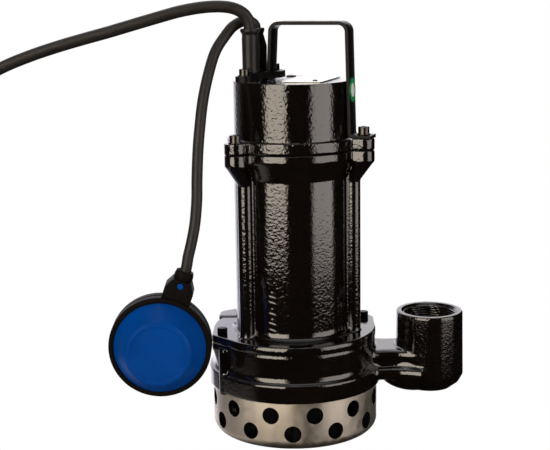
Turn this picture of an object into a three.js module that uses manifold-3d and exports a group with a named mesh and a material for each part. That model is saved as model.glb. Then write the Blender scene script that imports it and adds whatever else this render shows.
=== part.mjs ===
// Submersible sump pump with a float switch, in millimetres, +Z up.
// The origin is on the pump's axis, at the underside of the strainer basket.
import * as THREE from "three";
import { mergeVertices } from "three/addons/utils/BufferGeometryUtils.js";
import Module from "manifold-3d";

const wasm = await Module();
wasm.setup();

// ---- Driving dimensions -------------------------------------------------------------------

const GAP = 0.3; // clearance left between pieces that touch
const ROUND = 30; // sides of the large round castings
const HIDDEN_ROUND = 16; // sides of the round pieces inside
const SMALL_ROUND = 10; // sides of screws, glands and holes

const COVER = {
  radius: 51.5, bottom: 254.8, top: 313.9, flangeRadius: 57.6, flangeTop: 264.2, wall: 5, roof: 8,
};
const HOUSING = {
  radius: 52.2, bottom: 88.5, top: 254.5, flangeRadius: 57.6, bore: 47.3, coneBottom: 232, coneTop: 247,
};
const BASE_FLANGE = { radius: 73.5, bottom: 85.1, top: 92.5, padTop: 93.8, padFront: 31 };
const VOLUTE = {
  top: 88.2, spigotRadius: 67, radius: 73, shoulder: 84.8, skirtRadius: 77.2, skirtTop: 60.4, bottom: 43.4,
};
const CHAMBER = { radius: 56, bottom: 50, top: 80, plateRadius: 54.3 };
const STRAINER = { radius: 74.1, top: 49.7, wall: 1.2, fillet: 8.7, holeRadius: 7.5 };
const OUTLET = { x: 122.1, radius: 29.9, rim: 105.1, threadRadius: 23.9, boreRadius: 22.2, bottom: 31 };
const ELBOW = { size: [35, 27, 22.5], centre: [109, 0, 53] };
const NECK = {
  halfWidth: 24, footHalfWidth: 28.5, bottom: 47.5, ledge: 58.5, top: 73.5, start: 60, length: 52,
};
const HANDLE = {
  width: 18, thickness: 3, top: 364.4, rightFoot: 54.5, rightTop: 52, leftFoot: -18.6, leftTop: -16.1, end: 73.5,
};
const CLAMP_PLATE = { bottom: 314.2, top: 319, bridgeBottom: 315.6, bridgeTop: 321.2, bridgeStart: -26 };
const NAME_PLATE = { width: 37.5, depth: 59, thickness: 0.6, along: 16.7, across: 3.5 };
const GLAND = { neck: 353.5, lip: 356.4, top: 358.6 };
const FLOAT = {
  radius: 44, faceRadius: 39.5, plateauRadius: 27, halfBand: 9.6, halfThickness: 28.5, neckLength: 68,
};
const FLOAT_NECK = {
  halfWidth: 12.5, halfDepth: 10, bottom: -32, chamferBottom: -14.5, topHalfWidth: 8, top: -6.5, pin: -10.8,
};
const POWER_CABLE = { radius: 5.2, sides: 8 };
const FLOAT_CABLE = { radius: 4.75, sides: 8 };
const COIL = { x: -362, y: 0, radius: 62.5, halfWidth: 16.2, height: 42 };
const PLUG = { radius: 18.6, length: 58, pinSpacing: 19 };
const SHAFT_RADIUS = 9;
const COVER_SEAL = { radius: 53.9, z: 253.3, thickness: 1.05 };
const CASING_SEAL = { radius: 56.8, z: 89.7, thickness: 1.05 };

const HANDLE_TURN = THREE.MathUtils.degToRad(-19); // the handle's plane, about the pump's axis
const COVER_LUG_ANGLES = [-19, 101, 221];
const COVER_LUG_DISTANCE = 65;
const COVER_LUG_RADIUS = 9.5;
const COLUMN = { distance: 55, radius: 6.8 };
const BASE_EAR_ANGLES = [21, 201];
const BASE_EAR_DISTANCE = 68.8;
const STRAINER_SCREW_ANGLES = [30, 150, 270];
const STRAINER_SCREW_DISTANCE = 61;
const OIL_BOSS = { angle: 120, distance: 63, radius: 9, top: 93.8 };
const FLANGE_PAD = { angle: 146, distance: 68, radius: 9.5 };

// ---- Materials ------------------------------------------------------------------------------

const material = (color, roughness, metalness) => (
  new THREE.MeshStandardMaterial({ color, roughness, metalness })
);
const MATERIALS = {
  paint: material(0x0b0a0a, 0.2, 0.3),
  strainerSteel: material(0xa39c8f, 0.35, 1),
  screwSteel: material(0x2a2826, 0.3, 0.9),
  plate: material(0xd9d9d6, 0.3, 0.8),
  cable: material(0x201e1b, 0.7, 0),
  gland: material(0x161514, 0.6, 0),
  floatBlue: material(0x0551a6, 0.35, 0),
  floatBlack: material(0x1b1714, 0.45, 0),
  coreSteel: material(0x6d6d70, 0.4, 0.9),
  shaftSteel: material(0xb4b4b8, 0.25, 1),
  copper: material(0xb06a35, 0.4, 0.8),
  castIron: material(0x4a4744, 0.6, 0.7),
  rubber: material(0x111111, 0.8, 0),
  ceramic: material(0xe6e0d4, 0.3, 0),
  plastic: material(0xcfcfc8, 0.5, 0),
};

// ---- Solids -----------------------------------------------------------------------------------

const radians = THREE.MathUtils.degToRad;

function signedVolume(geometry) {
  const position = geometry.attributes.position;
  const index = geometry.index.array;
  const corners = [new THREE.Vector3(), new THREE.Vector3(), new THREE.Vector3()];
  let volume = 0;
  for (let i = 0; i < index.length; i += 3) {
    corners.forEach((corner, k) => corner.fromBufferAttribute(position, index[i + k]));
    volume += corners[0].dot(corners[1].cross(corners[2])) / 6;
  }
  return volume;
}

// Turns a closed geometry into a solid, with its faces pointing out.
function solid(geometry) {
  const bare = geometry.clone();
  bare.deleteAttribute("normal");
  bare.deleteAttribute("uv");
  const merged = mergeVertices(bare, 1e-4);
  if (signedVolume(merged) < 0) {
    const index = merged.index.array;
    for (let i = 0; i < index.length; i += 3) {
      [index[i], index[i + 1]] = [index[i + 1], index[i]];
    }
  }
  const vertProperties = new Float32Array(merged.attributes.position.array);
  const triVerts = new Uint32Array(merged.index.array);
  return new wasm.Manifold(new wasm.Mesh({ numProp: 3, vertProperties, triVerts }));
}

function geometryOf(body) {
  const mesh = body.getMesh();
  const geometry = new THREE.BufferGeometry();
  geometry.setAttribute("position", new THREE.BufferAttribute(mesh.vertProperties, 3));
  geometry.setIndex(new THREE.BufferAttribute(mesh.triVerts, 1));
  geometry.computeVertexNormals();
  return geometry;
}

const join = (...bodies) => bodies.reduce((whole, body) => whole.add(body));
const cut = (body, ...tools) => tools.reduce((whole, tool) => whole.subtract(tool), body);

// A body turned about the Z axis. The outline is a list of [radius, height] points.
function turned(outline, sides = ROUND) {
  const points = outline.map(([radius, height]) => new THREE.Vector2(radius, height));
  const onAxis = points[0].x === 0 && points.at(-1).x === 0;
  if (!onAxis) points.push(points[0].clone());
  return solid(new THREE.LatheGeometry(points, sides).rotateX(Math.PI / 2));
}

function ring(outer, inner, bottom, top, sides = HIDDEN_ROUND) {
  return turned([[inner, bottom], [outer, bottom], [outer, top], [inner, top]], sides);
}

function disc(radius, bottom, top, sides = SMALL_ROUND, x = 0, y = 0) {
  const geometry = new THREE.CylinderGeometry(radius, radius, top - bottom, sides);
  return solid(geometry.rotateX(Math.PI / 2).translate(x, y, (top + bottom) / 2));
}

// A round bar between two heights whose centre and radius may differ at each end.
function slantedBar(low, high, sides = SMALL_ROUND) {
  const geometry = new THREE.CylinderGeometry(1, 1, 1, sides).rotateX(Math.PI / 2);
  const position = geometry.attributes.position;
  for (let i = 0; i < position.count; i += 1) {
    const end = position.getZ(i) > 0 ? high : low;
    position.setXYZ(i, end.x + position.getX(i) * end.radius, end.y + position.getY(i) * end.radius, end.z);
  }
  return solid(geometry);
}

function box(width, depth, height, x, y, z) {
  return solid(new THREE.BoxGeometry(width, depth, height).translate(x, y, z));
}

function extruded(outline, bottom, top) {
  const shape = new THREE.Shape(outline);
  const geometry = new THREE.ExtrudeGeometry(shape, { depth: top - bottom, bevelEnabled: false });
  return solid(geometry.translate(0, 0, bottom));
}

// Points of a polygon whose corners [x, y, radius] are rounded by arcs.
function roundedOutline(corners, steps = 4) {
  const points = [];
  corners.forEach(([x, y, radius], i) => {
    const corner = new THREE.Vector2(x, y);
    const before = new THREE.Vector2(...corners.at(i - 1).slice(0, 2)).sub(corner).normalize();
    const after = new THREE.Vector2(...corners[(i + 1) % corners.length].slice(0, 2)).sub(corner).normalize();
    const half = Math.acos(THREE.MathUtils.clamp(before.dot(after), -1, 1)) / 2;
    const centre = before.clone().add(after).normalize().multiplyScalar(radius / Math.sin(half)).add(corner);
    const start = before.multiplyScalar(radius / Math.tan(half)).add(corner).sub(centre);
    const end = after.multiplyScalar(radius / Math.tan(half)).add(corner).sub(centre);
    let sweep = end.angle() - start.angle();
    sweep = Math.atan2(Math.sin(sweep), Math.cos(sweep));
    for (let k = 0; k <= steps; k += 1) {
      points.push(start.clone().rotateAround(new THREE.Vector2(), (sweep * k) / steps).add(centre));
    }
  });
  return points;
}

// Where a point at an angle and a distance from the pump's axis lies.
function polar(angle, distance) {
  return { x: distance * Math.cos(radians(angle)), y: distance * Math.sin(radians(angle)) };
}

// A straight-sided lug with a round end, reaching out from the axis.
function lug(angle, distance, radius, bottom, top) {
  const { x, y } = polar(angle, distance);
  const arm = new THREE.BoxGeometry(distance, 2 * radius, top - bottom);
  arm.translate(distance / 2, 0, (bottom + top) / 2).rotateZ(radians(angle));
  return join(solid(arm), disc(radius, bottom, top, SMALL_ROUND, x, y));
}

// A flange outline with an ear at each angle, its sides tangent to the flange and to the ear's end.
function earedOutline(radius, earRadius, steps = 44) {
  const spread = Math.acos((radius - earRadius) / BASE_EAR_DISTANCE);
  const tipSpread = Math.atan2(
    earRadius * Math.sin(spread),
    BASE_EAR_DISTANCE + earRadius * Math.cos(spread),
  );
  return Array.from({ length: steps }, (_, i) => {
    const angle = (i * 2 * Math.PI) / steps;
    const turns = BASE_EAR_ANGLES.map((ear) => Math.abs(Math.atan2(
      Math.sin(angle - radians(ear)),
      Math.cos(angle - radians(ear)),
    )));
    const away = Math.min(...turns);
    let reach = radius;
    if (away < tipSpread) {
      const side = BASE_EAR_DISTANCE * Math.sin(away);
      reach = BASE_EAR_DISTANCE * Math.cos(away) + Math.sqrt(earRadius ** 2 - side ** 2);
    } else if (away < spread) {
      reach = radius / Math.cos(spread - away);
    }
    return new THREE.Vector2(reach * Math.cos(angle), reach * Math.sin(angle));
  });
}

// ---- Castings -----------------------------------------------------------------------------------

const CABLE_HOLES = { power: { x: -35.6, y: -3.6 }, float: { x: -31, y: 14.1 } };
const CABLE_HOLE_RADIUS = 6.5;
const GLAND_BASES = { power: 7.2, float: 10 };
const CLAMP_SCREWS = { front: { x: -40.8, y: -20.5 }, rear: { x: -23.9, y: 30.4 } };
const CLAMP_SCREW_SHANK = 2.5;
const COVER_SCREW_SHANK = 3;
const CASING_SCREW_SHANK = 2.5;
const OIL_PLUG_SHANK = 4;
const OIL_PLUG_DEPTH = 5.5;

function motorCover() {
  const { radius, bottom, top, flangeRadius, flangeTop, wall, roof } = COVER;
  const shell = turned([
    [0, top - roof], [radius - wall, top - roof], [radius - wall, bottom], [flangeRadius, bottom],
    [flangeRadius, flangeTop], [radius, flangeTop], [radius, top - 0.8], [radius - 0.8, top], [0, top],
  ]);
  const chamber = disc(radius - wall, bottom - 1, top - roof, ROUND);
  const lugs = COVER_LUG_ANGLES.map((angle) => (
    lug(angle, COVER_LUG_DISTANCE, COVER_LUG_RADIUS, bottom, flangeTop)
  ));
  const lugHoles = COVER_LUG_ANGLES.map((angle) => {
    const { x, y } = polar(angle, COVER_LUG_DISTANCE);
    return disc(COVER_SCREW_SHANK + GAP, bottom - 1, flangeTop + 1, SMALL_ROUND, x, y);
  });
  const cableHoles = Object.values(CABLE_HOLES).map(({ x, y }) => (
    disc(CABLE_HOLE_RADIUS, top - roof - 1, top + 1, SMALL_ROUND, x, y)
  ));
  const screwHoles = Object.values(CLAMP_SCREWS).map(({ x, y }) => (
    disc(CLAMP_SCREW_SHANK + GAP, top - 7, top + 1, SMALL_ROUND, x, y)
  ));
  return cut(join(shell, ...lugs.map((arm) => cut(arm, chamber))), ...lugHoles, ...cableHoles, ...screwHoles);
}

function statorHousing() {
  const { radius, bottom, top, flangeRadius, bore, coneBottom, coneTop } = HOUSING;
  const seatRadius = LOWER_BEARING.outer + GAP;
  const seatBottom = LOWER_BEARING.bottom - GAP;
  const register = VOLUTE.spigotRadius + GAP;
  const flangeTop = BASE_FLANGE.top;
  const shell = turned([
    [register, bottom], [register, BASE_FLANGE.bottom], [BASE_FLANGE.radius, BASE_FLANGE.bottom],
    [BASE_FLANGE.radius, flangeTop - 2.3], [BASE_FLANGE.radius - 2, flangeTop], [radius + 5.5, flangeTop],
    [radius + 2, flangeTop + 1.5], [radius, flangeTop + 5.5], [radius, coneBottom], [flangeRadius, coneTop],
    [flangeRadius, top], [bore, top], [bore, LOWER_BEARING.top + 0.6], [seatRadius, LOWER_BEARING.top + 0.6],
    [seatRadius, seatBottom], [OIL.sealHole, seatBottom], [OIL.sealHole, OIL.top],
    [OIL.radius, OIL.top], [OIL.radius, bottom],
  ]);
  const grooves = [
    ring(COVER_SEAL.radius + 1.4, COVER_SEAL.radius - 1.4, COVER_SEAL.z - 1.4, top + 1, ROUND),
    ring(CASING_SEAL.radius + 1.4, CASING_SEAL.radius - 1.4, bottom - 1, CASING_SEAL.z + 1.4, ROUND),
  ];
  const inside = join(
    disc(bore, LOWER_BEARING.top + 0.6, top + 1, ROUND),
    disc(OIL.radius, bottom - 1, OIL.top, ROUND),
    disc(register, BASE_FLANGE.bottom - 1, bottom, ROUND),
  );
  const columns = COVER_LUG_ANGLES.map((angle) => {
    const foot = polar(angle, COLUMN.distance);
    const head = polar(angle, COVER_LUG_DISTANCE);
    return join(
      disc(COLUMN.radius, flangeTop - 1, coneBottom, SMALL_ROUND, foot.x, foot.y),
      slantedBar(
        { ...foot, z: coneBottom - 4, radius: COLUMN.radius },
        { ...head, z: 245, radius: COVER_LUG_RADIUS },
      ),
      lug(angle, COVER_LUG_DISTANCE, COVER_LUG_RADIUS, 244, top),
    );
  });
  const ears = extruded(earedOutline(BASE_FLANGE.radius - 0.5, 9.5), BASE_FLANGE.bottom, flangeTop);
  const boss = polar(OIL_BOSS.angle, OIL_BOSS.distance);
  const oilBoss = lug(OIL_BOSS.angle, OIL_BOSS.distance, OIL_BOSS.radius, BASE_FLANGE.bottom, OIL_BOSS.top);
  const pad = cut(
    lug(FLANGE_PAD.angle, FLANGE_PAD.distance, FLANGE_PAD.radius, BASE_FLANGE.bottom, BASE_FLANGE.padTop),
    box(200, 200, 200, 0, BASE_FLANGE.padFront - 100, 0),
  );
  const screwHoles = COVER_LUG_ANGLES.map((angle) => {
    const { x, y } = polar(angle, COVER_LUG_DISTANCE);
    return disc(COVER_SCREW_SHANK + GAP, 240, top + 1, SMALL_ROUND, x, y);
  });
  const earHoles = BASE_EAR_ANGLES.map((angle) => {
    const { x, y } = polar(angle, BASE_EAR_DISTANCE);
    return disc(CASING_SCREW_SHANK + GAP, BASE_FLANGE.bottom - 1, flangeTop + 1, SMALL_ROUND, x, y);
  });
  const oilHole = disc(
    OIL_PLUG_SHANK + GAP, OIL_BOSS.top - OIL_PLUG_DEPTH - 1, OIL_BOSS.top + 1, SMALL_ROUND, boss.x, boss.y,
  );
  const outside = [ears, oilBoss, pad, ...columns].map((piece) => cut(piece, inside));
  return cut(join(shell, ...outside), ...grooves, ...screwHoles, ...earHoles, oilHole);
}

function voluteCasing() {
  const { top, spigotRadius, radius, shoulder, skirtRadius, skirtTop, bottom } = VOLUTE;
  const wall = turned([
    [0, bottom], [skirtRadius, bottom], [skirtRadius, skirtTop - 1], [radius + 1.4, skirtTop],
    [radius, skirtTop + 3], [radius, shoulder], [spigotRadius, shoulder], [spigotRadius, top], [0, top],
  ]);
  const ears = extruded(earedOutline(radius - 0.5, 9.5), shoulder - 6, shoulder);
  const earBosses = BASE_EAR_ANGLES.map((angle) => {
    const { x, y } = polar(angle, BASE_EAR_DISTANCE);
    return slantedBar({ ...polar(angle, 64), z: 62, radius: 9 }, { x, y, z: shoulder - 4, radius: 9.5 });
  });
  const ribPlace = polar(212, 73.5);
  const rib = disc(5, bottom - 2, shoulder - 2, SMALL_ROUND, ribPlace.x, ribPlace.y);
  const barrel = turned([
    [0, OUTLET.bottom], [12, OUTLET.bottom + 0.8], [21, 35], [27.5, 40.5], [30.9, 47], [30.4, 75],
    [OUTLET.radius, OUTLET.rim - 1.2], [OUTLET.radius - 1.2, OUTLET.rim], [0, OUTLET.rim],
  ]).translate([OUTLET.x, 0, 0]);
  const elbow = solid(new THREE.SphereGeometry(1, 14, 8).scale(...ELBOW.size).translate(...ELBOW.centre));
  const neckOutline = roundedOutline([
    [-NECK.footHalfWidth, NECK.bottom, 5], [NECK.footHalfWidth, NECK.bottom, 5],
    [NECK.footHalfWidth, NECK.ledge - 3, 2], [NECK.halfWidth, NECK.ledge, 1],
    [NECK.halfWidth, NECK.top, 3], [-NECK.halfWidth, NECK.top, 3],
    [-NECK.halfWidth, NECK.ledge, 1], [-NECK.footHalfWidth, NECK.ledge - 3, 2],
  ], 2);
  const neckGeometry = new THREE.ExtrudeGeometry(
    new THREE.Shape(neckOutline), { depth: NECK.length, bevelEnabled: false },
  );
  const neck = solid(neckGeometry.rotateX(Math.PI / 2).rotateZ(Math.PI / 2).translate(NECK.start, 0, 0));
  const chamber = turned([
    [0, bottom - 4], [STRAINER.radius + 0.9, bottom - 4], [STRAINER.radius + 0.9, CHAMBER.bottom],
    [CHAMBER.radius, CHAMBER.bottom], [CHAMBER.radius, CHAMBER.top], [50, CHAMBER.top], [50, 82.3],
    [CHAMBER.plateRadius, 82.3], [CHAMBER.plateRadius, top + 2], [0, top + 2],
  ]);
  const bore = turned([
    [0, 56], [OUTLET.boreRadius, 56], [OUTLET.boreRadius, 82], [OUTLET.threadRadius, 84],
    [OUTLET.threadRadius, OUTLET.rim - 1.6], [OUTLET.threadRadius + 1.6, OUTLET.rim],
    [OUTLET.threadRadius + 1.6, OUTLET.rim + 2], [0, OUTLET.rim + 2],
  ]).translate([OUTLET.x, 0, 0]);
  const elbowInside = solid(new THREE.SphereGeometry(1, 10, 6).scale(24, 21.5, 17).translate(116, 0, 57));
  const passage = solid(
    new THREE.CylinderGeometry(1, 1, 72, 12).rotateZ(Math.PI / 2).scale(1, 20, 9).translate(82, 0, 60.5),
  );
  const earHoles = BASE_EAR_ANGLES.map((angle) => {
    const { x, y } = polar(angle, BASE_EAR_DISTANCE);
    return disc(CASING_SCREW_SHANK + GAP, 70, top + 1, SMALL_ROUND, x, y);
  });
  const strainerHoles = STRAINER_SCREW_ANGLES.map((angle) => {
    const { x, y } = polar(angle, STRAINER_SCREW_DISTANCE);
    return disc(CASING_SCREW_SHANK + GAP, CHAMBER.bottom - 1, 59, SMALL_ROUND, x, y);
  });
  const oilClearance = polar(OIL_BOSS.angle, OIL_BOSS.distance);
  const body = join(wall, ears, ...earBosses, rib, barrel, elbow, neck);
  return cut(
    body, chamber, bore, elbowInside, passage, ...earHoles, ...strainerHoles,
    disc(OIL_PLUG_SHANK + GAP, top - 1, top + 1, SMALL_ROUND, oilClearance.x, oilClearance.y),
  );
}

// ---- Strainer ---------------------------------------------------------------------------------

function strainerBasket() {
  const { radius, top, wall, fillet, holeRadius } = STRAINER;
  const cornerX = radius - fillet;
  const arc = (size) => [0, 1, 2, 3].map((k) => {
    const turn = (k * Math.PI) / 6;
    return [cornerX + size * Math.sin(turn), fillet - size * Math.cos(turn)];
  });
  const shell = turned([
    [0, 0], ...arc(fillet), [radius, top], [radius - wall, top], ...arc(fillet - wall).reverse(), [0, wall],
  ], 36);
  const holes = [];
  const rows = [{ height: 15.5, first: -2.7 }, { height: 31.5, first: 12.3 }];
  rows.forEach(({ height, first }) => {
    for (let k = 0; k < 12; k += 1) {
      const drill = new THREE.CylinderGeometry(holeRadius, holeRadius, 12, 8).rotateZ(Math.PI / 2);
      drill.translate(radius - wall, 0, height).rotateZ(radians(first - 90 + 30 * k));
      holes.push(solid(drill));
    }
  });
  const cups = STRAINER_SCREW_ANGLES.map((angle) => {
    const { x, y } = polar(angle, STRAINER_SCREW_DISTANCE);
    return disc(7, wall / 2, 5.4, SMALL_ROUND, x, y);
  });
  const recesses = STRAINER_SCREW_ANGLES.flatMap((angle) => {
    const { x, y } = polar(angle, STRAINER_SCREW_DISTANCE);
    return [disc(5.8, -1, 4.2, SMALL_ROUND, x, y), disc(CASING_SCREW_SHANK + GAP, 3, 7, SMALL_ROUND, x, y)];
  });
  return cut(join(shell, ...cups), ...holes, ...recesses);
}

function suctionPlate() {
  const plate = turned([[22, 45.4], [72.3, 45.4], [72.3, 49.7], [25, 49.7], [22, 48]], 24);
  const holes = STRAINER_SCREW_ANGLES.map((angle) => {
    const { x, y } = polar(angle, STRAINER_SCREW_DISTANCE);
    return disc(CASING_SCREW_SHANK + GAP, 44, 51, SMALL_ROUND, x, y);
  });
  return cut(plate, ...holes);
}

// ---- Handle, clamp plate and glands --------------------------------------------------------------

// A flat strip bent along a centre line. Corners are [along, height, bend radius].
function bentStripOutline(corners, thickness) {
  const line = [corners[0].slice(0, 2)];
  const steps = 5;
  const middle = roundedOutline(corners, steps);
  const bends = middle.slice(steps + 1, middle.length - steps - 1);
  bends.forEach((point) => line.push([point.x, point.y]));
  line.push(corners.at(-1).slice(0, 2));
  const sides = [[], []];
  line.forEach((point, i) => {
    const from = new THREE.Vector2(...line[Math.max(i - 1, 0)]);
    const to = new THREE.Vector2(...line[Math.min(i + 1, line.length - 1)]);
    const normal = to.sub(from).normalize().rotateAround(new THREE.Vector2(), Math.PI / 2);
    sides[0].push(new THREE.Vector2(...point).addScaledVector(normal, thickness / 2));
    sides[1].push(new THREE.Vector2(...point).addScaledVector(normal, -thickness / 2));
  });
  return [...sides[0], ...sides[1].reverse()];
}

function handle() {
  const half = HANDLE.thickness / 2;
  const outline = bentStripOutline([
    [HANDLE.leftFoot, CLAMP_PLATE.bottom + GAP, 0], [HANDLE.leftTop, HANDLE.top - half, 7.5],
    [HANDLE.rightTop, HANDLE.top - half, 7.5], [HANDLE.rightFoot, COVER.flangeTop + GAP + half, 3.5],
    [HANDLE.end, COVER.flangeTop + GAP + half, 0],
  ], HANDLE.thickness);
  const shape = new THREE.Shape(outline);
  const strip = new THREE.ExtrudeGeometry(shape, { depth: HANDLE.width, bevelEnabled: false });
  strip.translate(0, 0, -HANDLE.width / 2).rotateX(Math.PI / 2);
  const screwHole = disc(
    COVER_SCREW_SHANK + GAP, COVER.flangeTop - 1, COVER.flangeTop + 6, SMALL_ROUND, COVER_LUG_DISTANCE, 0,
  );
  return cut(solid(strip), screwHole);
}

// The plate lies low round the glands and bridges the cover's top beside the handle, on a foot.
function cableClampPlate() {
  const outline = roundedOutline([
    [-39, -38.5, 6], [-26, -38.5, 6], [-22.5, -23, 4], [-9.8, 2, 2], [-9.8, 13, 3], [-22, 29.5, 6],
    [-41, 29.5, 6], [-46, 8, 4], [-41.5, -20, 6],
  ], 3);
  const { bottom, top, bridgeBottom, bridgeTop, bridgeStart } = CLAMP_PLATE;
  const right = box(100, 200, 100, bridgeStart + 1 + 50, 0, top);
  const left = box(100, 200, 100, bridgeStart - 50, 0, top);
  const foot = disc(3.4, bottom, bridgeBottom + 1, SMALL_ROUND, -17.5, -7);
  const tab = box(1.8, 6, 8, -20.2, 21.8, bridgeTop + 1);
  const lowPart = cut(extruded(outline, bottom, top), right);
  const bridge = cut(extruded(outline, bridgeBottom, bridgeTop), left);
  const plate = join(lowPart, bridge, foot, tab);
  const inPlane = ({ x, y }) => new THREE.Vector2(x, y).rotateAround(new THREE.Vector2(), -HANDLE_TURN);
  const cableHoles = Object.values(CABLE_HOLES).map((hole) => {
    const { x, y } = inPlane(hole);
    return disc(CABLE_HOLE_RADIUS, bottom - 1, bridgeTop + 1, SMALL_ROUND, x, y);
  });
  const glandRooms = Object.entries(GLAND_BASES).map(([cable, base]) => {
    const { x, y } = inPlane(CABLE_HOLES[cable]);
    return disc(base + 0.9, top, bridgeTop + 1, SMALL_ROUND, x, y);
  });
  const screwHoles = Object.values(CLAMP_SCREWS).map((screw) => {
    const { x, y } = inPlane(screw);
    return disc(CLAMP_SCREW_SHANK + GAP, bottom - 1, top + 1, SMALL_ROUND, x, y);
  });
  const slotWidth = HANDLE.thickness + 2 * GAP + 0.4;
  const slot = box(slotWidth, HANDLE.width + 2 * GAP, 20, HANDLE.leftFoot + 0.1, 0, bottom);
  return cut(plate, ...cableHoles, ...glandRooms, ...screwHoles, slot);
}

// A rubber sleeve that is straight up to its shoulder, draws in to a waist and ends in a lip.
function glandSleeve({ base, shoulder, waist, lip }, cableRadius) {
  const bottom = CLAMP_PLATE.top + GAP;
  const bore = cableRadius + GAP;
  return turned([
    [bore, bottom], [base, bottom], [base, shoulder], [waist, GLAND.neck], [lip, GLAND.lip], [lip, GLAND.top],
    [bore, GLAND.top],
  ], 12);
}

// ---- Screws -------------------------------------------------------------------------------------

// A cap screw standing on its seat, with its washer.
function capScrew(headRadius, headHeight, shankRadius, shankLength) {
  const washer = 1.2;
  return turned([
    [0, -shankLength], [shankRadius, -shankLength], [shankRadius, GAP / 2], [headRadius + 0.8, GAP / 2],
    [headRadius + 0.8, washer], [headRadius, washer], [headRadius, washer + headHeight - 0.6],
    [headRadius - 0.6, washer + headHeight], [0, washer + headHeight],
  ], SMALL_ROUND);
}

function hexScrew(headRadius, headHeight, shankRadius, shankLength) {
  const head = disc(headRadius, GAP / 2, headHeight, 6);
  return join(head, disc(shankRadius, -shankLength, 1, SMALL_ROUND));
}

// ---- Motor, seals and impeller -------------------------------------------------------------------

const LOWER_BEARING = { outer: 20, bore: 8.5, bottom: 115.3, top: 127.3 };
const UPPER_BEARING = { outer: 17.5, bore: 7.5, bottom: 243, top: 254 };
const OIL = { radius: 36, top: 110, sealHole: 13 };
const CORE = { outer: 47, bore: 28.5, bottom: 150, top: 215 };

function bearingPieces({ outer, bore, bottom, top }) {
  const wall = (outer - bore) * 0.3;
  return {
    outerRing: ring(outer, outer - wall, bottom, top),
    innerRing: ring(bore + wall, bore, bottom, top),
  };
}

function shaft() {
  const lower = LOWER_BEARING;
  const upper = UPPER_BEARING;
  return turned([
    [0, 58], [5, 58], [5, 66], [7, 66], [7, 82], [SHAFT_RADIUS, 82], [SHAFT_RADIUS, lower.bottom],
    [lower.bore - 0.15, lower.bottom], [lower.bore - 0.15, lower.top + 0.3],
    [10.5, lower.top + 0.3], [10.5, 150.4], [9.5, 150.4], [9.5, 214], [SHAFT_RADIUS, 214],
    [SHAFT_RADIUS, upper.bottom - 0.2],
    [upper.bore - 0.15, upper.bottom - 0.2], [upper.bore - 0.15, 255], [0, 255],
  ], HIDDEN_ROUND);
}

function upperBearingBracket() {
  const seat = UPPER_BEARING.outer + GAP;
  return turned([
    [12, 238.5], [47, 238.5], [47, 251], [45.7, 251], [45.7, 242.7], [21.3, 242.7], [21.3, 254.3],
    [seat, 254.3], [seat, 242.7], [12, 242.7],
  ], HIDDEN_ROUND);
}

function impeller() {
  const vaneCount = 6;
  const hub = turned([
    [0, 66.3], [13, 66.3], [14, 76], [46, 76], [46, 80], [14, 80], [13, 82], [0, 82],
  ], HIDDEN_ROUND);
  const vanes = Array.from({ length: vaneCount }, (_, k) => {
    const vane = new THREE.BoxGeometry(34, 3, 10).rotateZ(radians(12)).translate(28.5, 0, 71.5);
    return solid(vane.rotateZ((k * 2 * Math.PI) / vaneCount));
  });
  return cut(join(hub, ...vanes), disc(7 + GAP, 60, 90, HIDDEN_ROUND));
}

function sealPlate() {
  return turned([
    [9.6, 82.6], [54, 82.6], [54, 88.2], [15.3, 88.2], [15.3, 85], [9.6, 85],
  ], 24);
}

function endWinding(bottom, top) {
  const middle = (bottom + top) / 2;
  return turned([
    [31, bottom], [44, bottom], [45.5, middle], [43, top], [33, top], [30, middle],
  ], HIDDEN_ROUND);
}

// ---- Float ------------------------------------------------------------------------------------

// Half of the float's shell, turned about the float's own axis, bulging towards +Z.
function floatShell() {
  const { faceRadius, plateauRadius, halfBand, halfThickness } = FLOAT;
  const wall = 2.2;
  return turned([
    [0, halfThickness - wall], [plateauRadius - 2, halfThickness - wall], [faceRadius - wall, halfBand],
    [faceRadius - wall, GAP], [faceRadius, GAP], [faceRadius, halfBand],
    [plateauRadius + 1, halfThickness - 1.2], [plateauRadius - 1, halfThickness], [0, halfThickness],
  ], 24);
}

function floatRimSeal() {
  const { radius, faceRadius, halfBand } = FLOAT;
  return turned([
    [faceRadius + GAP, -halfBand], [radius - 1, -halfBand], [radius, -halfBand + 1], [radius, halfBand - 1],
    [radius - 1, halfBand], [faceRadius + GAP, halfBand],
  ], 24);
}

// The neck stands on the rim; local +Z is up along the cable, local Y is the float's own axis.
function floatNeck() {
  const { halfWidth, halfDepth, bottom, chamferBottom, topHalfWidth, top, pin } = FLOAT_NECK;
  const outline = roundedOutline([
    [-halfWidth, bottom, 1], [halfWidth, bottom, 1], [halfWidth, chamferBottom, 3], [topHalfWidth, top, 2],
    [-topHalfWidth, top, 2], [-halfWidth, chamferBottom, 3],
  ], 2);
  const shape = new THREE.Shape(outline);
  const upright = new THREE.ExtrudeGeometry(shape, { depth: 2 * halfDepth, bevelEnabled: false });
  const block = solid(upright.translate(0, 0, -halfDepth).rotateX(Math.PI / 2));
  const rim = solid(new THREE.CylinderGeometry(FLOAT.radius + GAP, FLOAT.radius + GAP, 40, 24)
    .translate(0, 0, -FLOAT.neckLength));
  const pinHole = solid(new THREE.CylinderGeometry(2.9, 2.9, 8, SMALL_ROUND).translate(0, -halfDepth, pin));
  return cut(block, rim, pinHole);
}

// ---- Cords ------------------------------------------------------------------------------------

// A round cord through hand-chosen points, with flat ends.
function cord(points, { radius, sides }, steps) {
  const knots = points.map((point) => new THREE.Vector3(...point));
  const curve = new THREE.CatmullRomCurve3(knots, false, "centripetal");
  const section = new THREE.Shape(Array.from({ length: sides }, (_, k) => {
    const turn = (k * 2 * Math.PI) / sides;
    return new THREE.Vector2(radius * Math.cos(turn), radius * Math.sin(turn));
  }));
  return solid(new THREE.ExtrudeGeometry(section, { steps, extrudePath: curve, bevelEnabled: false }));
}

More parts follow.
